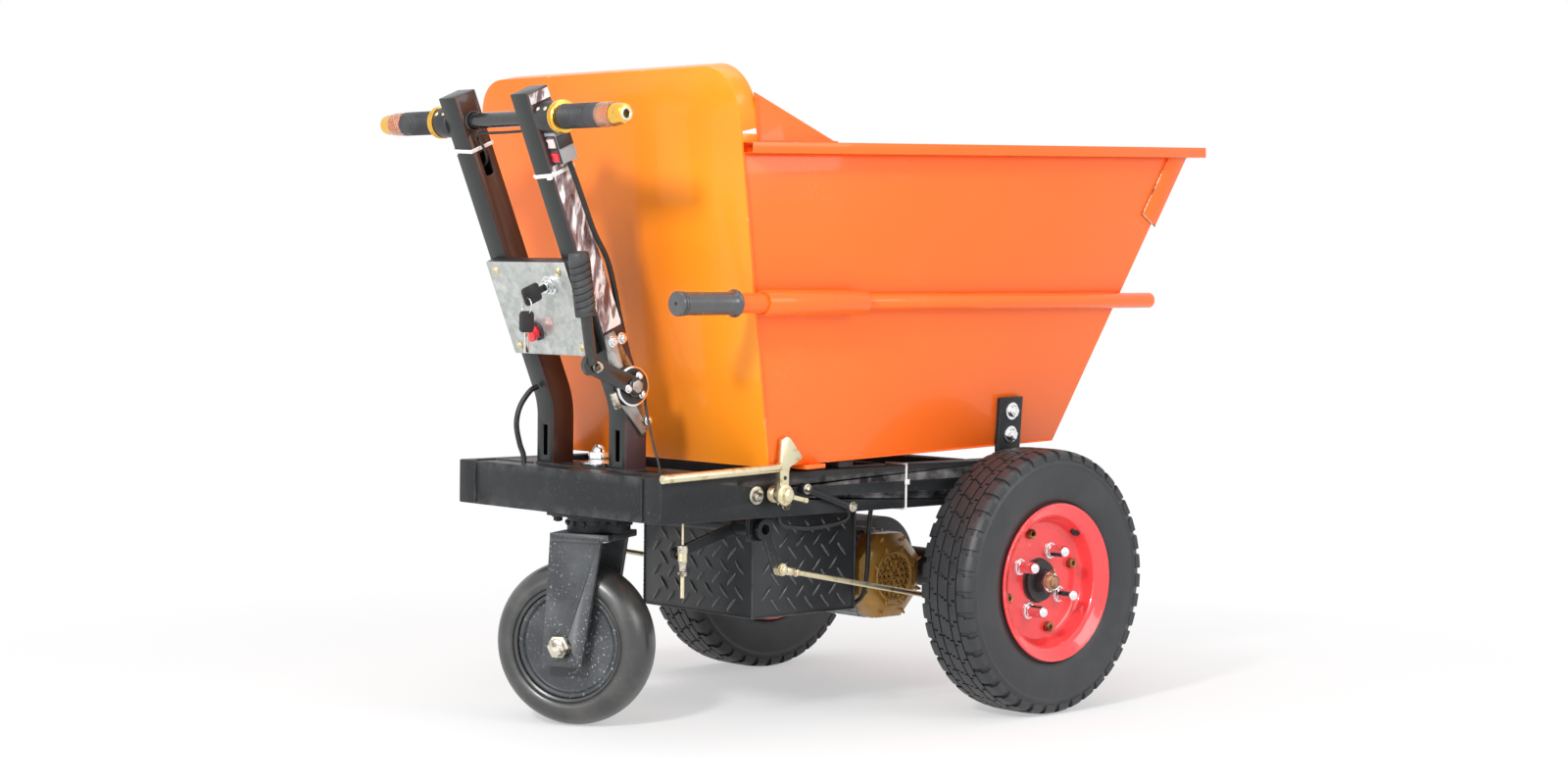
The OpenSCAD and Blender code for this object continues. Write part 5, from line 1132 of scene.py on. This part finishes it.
def latch_spring():
    """Torsion spring of the latch, a helix with straight legs."""
    pitch = (16 - 2 * SPRING_WIRE - 0.8) / SPRING_TURNS
    pivot = at(LATCH_X, 0, LATCH_Z)
    helix = []
    for k in range(SPRING_TURNS * SPRING_STEPS + 1):
        a = TURN * k / SPRING_STEPS
        side = SPRING_Y + pitch * k / SPRING_STEPS
        helix.append(pivot + millimetres(SPRING_R * cos(a), -side, SPRING_R * sin(a)))
    leg = millimetres(0, 0, SPRING_LEG)
    helix = [helix[0] - leg, *helix, helix[-1] + leg]
    coil = bpy.data.objects.new("latch_spring_coil", cord_line("latch_spring_coil", helix, SPRING_WIRE * MM))
    settled(coil, "chassis", ZINC, ["latch_spring"])


# Tub
FLOOR_Z = 55
TAPER = (586 - 482) / 2 / 560
WALL_Z = 495
RIM_Z = 511
PATCH_DROP = 109
PUSH_SLOPE = radians(1.4)
PUSH_SEAMS = ((-330, -150), (-90, 60), (120, 230))
SLEEVE_END = -344.2
SLEEVE_R = 12.2


def wall_y(z):
    return 241 + (z - FLOOR_Z) * TAPER


def back_x(z):
    return -497 - (z - FLOOR_Z) * 101 / 560


def front_x(z):
    return 109 + (z - FLOOR_Z) * 269 / 440


def flange_x(z):
    return back_x(z) + 32.7


def on_wall(side, x, z, out):
    """A place outside a side wall of the tub."""
    return side @ (TUB @ millimetres(x, wall_y(z) + out, z))


def push_z(x):
    return 276 - x * tan(PUSH_SLOPE)


def push_place(x, r):
    """A place on the axis of the push bar, where it has a radius, on the right wall."""
    z = push_z(x)
    return MIRROR_Y @ (TUB @ millimetres(x, wall_y(z) + 1.0043 * r + 0.2, z))


PUSH_END = push_place(-695, 18)
PUSH_WAY = push_place(-420, 18) - PUSH_END


def tub_welds():
    """Weld beads of the tub, its flange and its push bar, and the seams of the patches at its lip."""
    feet = []
    welds = []
    patches = []
    foot = flange_x(RIM_Z)
    low = WALL_Z - PATCH_DROP
    runs = (
        (1.6, (back_x(120) + 3, 120, 0.6), (back_x(WALL_Z) + 3, WALL_Z, 0.6)),
        (1.3, (-380, 56, 0.4), (front_x(56) - 4, 56, 0.4)),
        (2, (foot + 4, RIM_Z + 1, 0.6), (foot + 150, RIM_Z + 1, 0.6)),
        (1.8, (foot, RIM_Z + 3, 0.4), (flange_x(572), 572, 0.2)),
    )
    patch = ((front_x(WALL_Z) - 36.5, WALL_Z - 2, 2), (front_x(low) - 24.4, low + 19.8, 2),
             (front_x(low) + 8, low, 2))
    for side in (Matrix(), MIRROR_Y):
        for r, start, end in runs:
            welds.append(bead([on_wall(side, *start), on_wall(side, *end)], r, 3))
        for start, end in zip(patch, patch[1:]):
            patches.append(bead([on_wall(side, *start), on_wall(side, *end)], 1.1, 3.4))
        filler = slab((back_x(516) + 2, flange_x(516) - 0.6), (280.2, 284), (RIM_Z - 0.6, RIM_Z + 11), 1)
        feet.append(moved(filler, side @ TUB))
    for start, end in PUSH_SEAMS:
        for lift in (11, -11):
            run = [on_wall(MIRROR_Y, x, push_z(x) + lift, 1) for x in (start, end)]
            welds.append(bead(run, 1.4, 3))
    step = facing(push_place(SLEEVE_END, SLEEVE_R), PUSH_WAY)
    angles = [TURN * k / 32 for k in range(33)]
    welds.append(bead([step @ millimetres(SLEEVE_R * cos(a), SLEEVE_R * sin(a), 0) for a in angles], 1.5))
    piece("flange_foot_welds", gather(feet), "tub", REAR_ORANGE)
    piece("tub_welds", gather(welds), "tub", ORANGE)
    piece("lip_patch_seams", gather(patches), "tub", ROUGH_ZINC)


PUSH_GRIP = [(0, -2.6), (2.6, -2.6), (2.8, -4), (14.2, -4), (16.2, -3.4), (17, -2), (17, 0.6), (16.6, 1.4),
             (15.7, 1.8), (15.7, 3), (16.6, 3.4), (16.8, 4.4), (16.6, 5.4), (15.7, 5.8), (15.7, 7),
             (16.5, 7.4), (16.6, 9), (16, 10), (16, 30), (16, 60), (16, 92), (16.6, 96), (18.4, 99.4),
             (19.4, 100.4), (19.5, 102.6), (18.8, 103.8), (14.3, 104)]
# Black disc of painted shade in the grip's end hole: radius and height.
PUSH_HOLE_SHADE = [(0, -2.9), (2.5, -2.9), (2.5, -2.2)]


def push_grip():
    """Rubber grip of the push bar, with a ringed end, a black disc of painted shade in its end hole, and a flared
    collar.
    """
    grip = turned(PUSH_GRIP, 56, PUSH_END, PUSH_WAY)
    piece("push_grip_moulding", grip, "tub", PUSH_RUBBER, 30, ["push_grips"])
    # Painted shade: a black disc deep in the grip's end hole.
    grip_hole_shade = turned(PUSH_HOLE_SHADE, 20, PUSH_END, PUSH_WAY)
    piece("push_grip_hole_shade", grip_hole_shade, "tub", BLACK_PLASTIC)


# Battery box and motor
BOX_X = -298
BOX_Z = 232
BOX_LONG = 210
BOX_WIDE = 244
BOX_BASE = 153
BOX_TOP = 312
BAR_PITCH = 34
BAR_RISE = 19
BAR_ROWS = 7
BAR_TILT = radians(48)
BAR_SIZE = Matrix.Diagonal((14 * MM, 2.8 * MM, 2.6 * MM, 1))


def tread_plate():
    """Raised bars of the tread plate on the box's four walls, turned in alternate rows, and its welds."""
    bars = []
    walls = []
    along_x = Vector((1, 0, 0))
    along_y = Vector((0, 1, 0))
    up = Vector((0, 0, 1))
    for sign in (1, -1):
        walls.append((at(BOX_X, sign * BOX_WIDE / 2, BOX_Z), along_x, sign * along_y, BOX_LONG))
        walls.append((at(BOX_X + sign * BOX_LONG / 2, 0, BOX_Z), along_y, sign * along_x, BOX_WIDE))
    for middle, along_wall, out, width in walls:
        wall_turn = Matrix((along_wall, up, out)).transposed().to_4x4()
        columns = int(width / BAR_PITCH)
        for row in range(BAR_ROWS):
            odd = row % 2
            z = (row - (BAR_ROWS - 1) / 2) * BAR_RISE - 6
            tilt = Matrix.Rotation(BAR_TILT if odd else -BAR_TILT, 4, "Z")
            for column in range(columns):
                x = (column - (columns - 1) / 2 + 0.5 * odd - 0.25) * BAR_PITCH
                if abs(x) > width / 2 - 12:
                    continue
                spot = middle + along_wall * x * MM + up * z * MM
                bar = bmesh.new()
                bmesh.ops.create_uvsphere(bar, u_segments=8, v_segments=6, radius=1)
                bars.append(moved(bar, Matrix.Translation(spot) @ wall_turn @ tilt @ BAR_SIZE))
    piece("tread_plate_bars", gather(bars), "chassis", BAR_BLACK, 60)
    seams = []
    x0, x1 = BOX_X - BOX_LONG / 2, BOX_X + BOX_LONG / 2
    y0, y1 = -BOX_WIDE / 2, BOX_WIDE / 2
    corners = [(x0, y0), (x1, y0), (x1, y1), (x0, y1), (x0, y0)]
    for start, end in zip(corners, corners[1:]):
        seams.append(bead([at(*start, BOX_BASE), at(*end, BOX_BASE)], 1.6, 3))
    for x, y in corners[:4]:
        seams.append(bead([at(x, y, BOX_BASE), at(x, y, BOX_TOP)], 1.6, 3))
    piece("battery_box_welds", gather(seams), "chassis", BOX_BLACK)


MOTOR_X = -106
MOTOR_Z = 196
COVER_Y = -122
VENT_R = 31
VENT_PITCH = 4.8
VENT_RISE = 4.2


def on_cover(x, z, back=0.0):
    return at(MOTOR_X + x, COVER_Y + back, MOTOR_Z + z)


def motor_details():
    """Pressed ribs of the fan cover, and black discs of painted shade for the holes of its perforation."""
    ribs = []
    for k in range(8):
        a = TURN * k / 8 + pi / 8
        for start, end, back, slant in ((38, 47, 0, 0), (50, 66, 7.5, -38)):
            r = (start + end) / 2
            rib = bmesh.new()
            bmesh.ops.create_uvsphere(rib, u_segments=12, v_segments=8, radius=1)
            size = Matrix.Diagonal(((end - start) / 2 * 1.2 * MM, 3.4 * MM, 2.4 * MM, 1))
            tilt = Matrix.Rotation(-a, 4, "Y") @ Matrix.Rotation(radians(slant), 4, "Z")
            place = Matrix.Translation(on_cover(r * cos(a), r * sin(a), back))
            ribs.append(moved(rib, place @ tilt @ AXIS_UP @ size))
    ring = lathe([(34, -0.6), (35, 1.2), (37, 1.8), (39, 1.2), (40, -0.6)], 64)
    ribs.append(moved(ring, Matrix.Translation(on_cover(0, 0)) @ Matrix.Rotation(pi, 4, "Z")))
    piece("fan_cover_ribs", gather(ribs), "chassis", COVER, 50)
    # Painted shade: each hole of the perforation is a black disc on the cover's face.
    vent_hole_shades = []
    for row in range(-7, 8):
        for column in range(-7, 8):
            x = VENT_PITCH * (column + (0.5 if row % 2 else 0))
            z = VENT_RISE * row
            r = (x * x + z * z) ** 0.5
            if r > VENT_R or min(abs(r - bare) for bare in (10, 20, 30)) < 3.2:
                continue
            vent_hole_shades.append(moved(round_bar(1.5, 1.5, (-0.2, 0.3), 8), facing(on_cover(x, z), RIGHT)))
    piece("fan_cover_hole_shades", gather(vent_hole_shades), "chassis", BLACK_PLASTIC)


# Cords: radius, and the route of the model's own lead
LEADS = {
    "pod_lead": (4, [
        (-746.2, -113, 811.3), (-742.7, -113, 803), (-731, -113, 779), (-716, -112, 748), (-698, -111, 712),
        (-672, -107, 676), (-651, -98, 636), (-634, -90, 596), (-612, -84, 540), (-591, -82, 490),
        (-584, -82, 450), (-584, -82, 410), (-585, -82, 377.4)]),
    "left_clamp_lead": (2, [
        (-770, 60.4, 846), (-768, 58, 838), (-763, 55, 827), (-758, 57, 816), (-755, 62, 810),
        (-754, 70, 806)]),
    "left_loop_lead": (4, [
        (-644, 82, 490), (-656, 84, 484), (-671, 88, 462), (-676, 90, 436), (-670, 90, 408), (-664, 89, 392),
        (-663, 88, 377.8)]),
    "handlebar_lead": (2, [(-782, 62.4, 852), (-782, 40, 850), (-782, -40, 850), (-782, -62.4, 852)]),
    "rail_lead": (3.5, [
        (-437, -214, 312.3), (-437, -214, 306), (-430, -214, 299), (-408, -214, 295), (-374, -214, 292),
        (-338, -214, 294), (-306, -214, 299), (-299, -214, 306), (-299, -214, 312.3)]),
    "battery_lead": (3.5, [
        (-182, -189.3, 345), (-182, -181, 345), (-182, -167, 341), (-181, -152, 326), (-180, -140, 290),
        (-180, -136, 210), (-179, -127, 174), (-180, -113, 160), (-185, -108, 157), (-192.3, -108, 157)]),
    "brake_cable_sheath": (1.8, [
        (-606.2, -113.4, 494), (-606, -116, 470), (-605, -124, 440), (-604, -134, 410), (-603, -142, 388),
        (-603, -145, 373)]),
}


def cords():
    """Leads and brake cable, each going into the cart at both ends."""
    for name, (r, route) in LEADS.items():
        places = eased([at(*p) for p in route], 8)
        lead = bpy.data.objects.new(name, cord_line(name, places, r * MM))
        stands_for = "brake_cable" if name == "brake_cable_sheath" else "wiring_loom"
        settled(lead, "chassis", SHEATH, [stands_for])


TIE_WIDE = 4.6
TIE_THICK = 1.4


def cable_ties():
    """White ties round the uprights and the right rail."""
    ties = []
    for side, up in ((1, 372), (-1, 332)):
        corners = ((-1.2, 62, 0), (-1.2, 103.4, 2), (39.2, 103.4, 2), (39.2, 62, 0))
        ties.append(tied([on_column(x, side * y, up + lift) for x, y, lift in corners], TIE_WIDE, TIE_THICK))
        tail = [on_column(-2, side * 100, up + 2), on_column(-6, side * 112, up + 8)]
        ties.append(solid_of(cord_line("tail", tail, 1.1 * MM)))
        head = slab((-5, 0), (-4, 4), (-3.4, 3.4), 0.8)
        ties.append(moved(head, COLUMN @ shifted(-1, side * 98, up)))
    ring = [at(-196, y, z) for y, z in ((-189, 312), (-231, 312), (-231, 378), (-189, 378))]
    ties.append(tied(ring, TIE_WIDE, TIE_THICK))
    ties.append(moved(slab((-3.4, 3.4), (-5, 0), (-4, 4), 0.8), Matrix.Translation(at(-196, -231, 352))))
    piece("cable_ties", gather(ties), "chassis", WHITE_NYLON)


# Stage, light and camera
FLOOR_FADE = (0.5, 1.6)
FLOOR_GLOW = 0.45
WORLD_LIGHT = 0.52
WHITE = (1, 1, 1, 1)
# Place, target, size and power
LAMPS = {
    "key": ((-3.2, -2.2, 3.4), (0, 0, 0.5), (2.4, 2.0), 34),
    "side": ((0.8, -4.0, 2.2), (0, 0, 0.5), (2.6, 1.6), 54),
    "rear": ((-3.4, -1.4, 2.3), (-0.5, 0, 0.6), (0.4, 0.4), 90),
    "fill": ((-3.6, -0.6, 0.8), (-0.3, -0.1, 0.6), (2.0, 1.2), 16),
    "top": ((0.4, 0.2, 4.2), (0, 0, 0.4), (3.0, 3.0), 40),
}


def background_rays(tree):
    """1 for rays from the camera, from gloss and through glass."""
    path = tree.nodes.new("ShaderNodeLightPath")
    share = path.outputs["Is Camera Ray"]
    for name in ("Is Glossy Ray", "Is Transmission Ray"):
        either = tree.nodes.new("ShaderNodeMath")
        either.operation = "MAXIMUM"
        tree.links.new(share, either.inputs[0])
        tree.links.new(path.outputs[name], either.inputs[1])
        share = either.outputs[0]
    return share


def paper_floor():
    """Pale paper floor that turns white away from the cart."""
    bpy.ops.mesh.primitive_plane_add(size=60, location=(0, 0, 0))
    floor = bpy.context.object
    floor.name = "studio_floor"
    paper = Finish("studio_paper", (0.93, 0.93, 0.93), 0.9)
    tree = paper.tree
    reach = paper.node("ShaderNodeVectorMath", {"Vector": paper.coordinates}, operation="LENGTH")
    fade = paper.span(reach.outputs["Value"], *FLOOR_FADE, FLOOR_GLOW, 1)
    glow = paper.node("ShaderNodeEmission", {"Color": WHITE, "Strength": 1})
    mix = paper.node("ShaderNodeMixShader", {"Fac": paper.times(fade, background_rays(tree))})
    tree.links.new(paper.shader.outputs["BSDF"], mix.inputs[1])
    tree.links.new(glow.outputs["Emission"], mix.inputs[2])
    tree.links.new(mix.outputs["Shader"], tree.nodes["Material Output"].inputs["Surface"])
    floor.data.materials.append(paper.material)


def white_studio():
    """Soft white light from all round, and a white background for what the camera and gloss see."""
    world = bpy.data.worlds.new("studio")
    bpy.context.scene.world = world
    world.use_nodes = True
    tree = world.node_tree
    soft = tree.nodes["Background"]
    white = tree.nodes.new("ShaderNodeBackground")
    for back, strength in ((soft, WORLD_LIGHT), (white, 1)):
        back.inputs["Color"].default_value = WHITE
        back.inputs["Strength"].default_value = strength
    mix = tree.nodes.new("ShaderNodeMixShader")
    tree.links.new(background_rays(tree), mix.inputs["Fac"])
    tree.links.new(soft.outputs["Background"], mix.inputs[1])
    tree.links.new(white.outputs["Background"], mix.inputs[2])
    tree.links.new(mix.outputs["Shader"], tree.nodes["World Output"].inputs["Surface"])


def softbox(name, place, target, size, power):
    lamp = bpy.data.lights.new(name, "AREA")
    lamp.shape = "RECTANGLE"
    lamp.size, lamp.size_y = size
    lamp.energy = power
    light = bpy.data.objects.new(name, lamp)
    bpy.context.scene.collection.objects.link(light)
    light.location = place
    light.rotation_euler = (Vector(target) - Vector(place)).to_track_quat("-Z", "Y").to_euler()


CAMERA_PLACE = at(-3121.5, -3075.2, 670.3)
CAMERA_YAW = radians(-43.24)
CAMERA_PITCH = radians(2.63)
CAMERA_ROLL = radians(0.73)
FOCAL_PIXELS = 2809.6
IMAGE_WIDTH = 1600


def camera():
    """The camera of the photograph, from its place, angles and focal length."""
    level = cos(CAMERA_PITCH)
    back = Vector((sin(CAMERA_YAW) * level, -cos(CAMERA_YAW) * level, sin(CAMERA_PITCH)))
    side = Vector((cos(CAMERA_YAW), sin(CAMERA_YAW), 0))
    top = back.cross(side)
    right = cos(CAMERA_ROLL) * side + sin(CAMERA_ROLL) * top
    up = cos(CAMERA_ROLL) * top - sin(CAMERA_ROLL) * side
    lens = bpy.data.cameras.new("camera")
    lens.sensor_width = 36
    lens.lens = FOCAL_PIXELS / IMAGE_WIDTH * lens.sensor_width
    eye = bpy.data.objects.new("camera", lens)
    bpy.context.scene.collection.objects.link(eye)
    turn = Matrix((right, up, back)).transposed().to_4x4()
    eye.matrix_world = Matrix.Translation(CAMERA_PLACE) @ turn
    bpy.context.scene.camera = eye


bpy.context.scene.view_settings.view_transform = "Standard"
camera()
paper_floor()
white_studio()
for lamp_name, lamp_setting in LAMPS.items():
    softbox(lamp_name, *lamp_setting)
dress_nodes()
cords()
for wheel_side in ("left", "right"):
    drive_tyre(wheel_side)
    wheel_rim(wheel_side)
    axle_end(wheel_side)
castor_wheel()
castor_fittings()
hand_grips()
bar_ends()
bar_fastenings()
column_film()
switch_details()
panel_fittings()
keys()
lever_grip()
parking_brake()
brake_linkage()
frame_welds()
frame_fasteners()
latch_spring()
tub_welds()
push_grip()
tread_plate()
motor_details()
cable_ties()
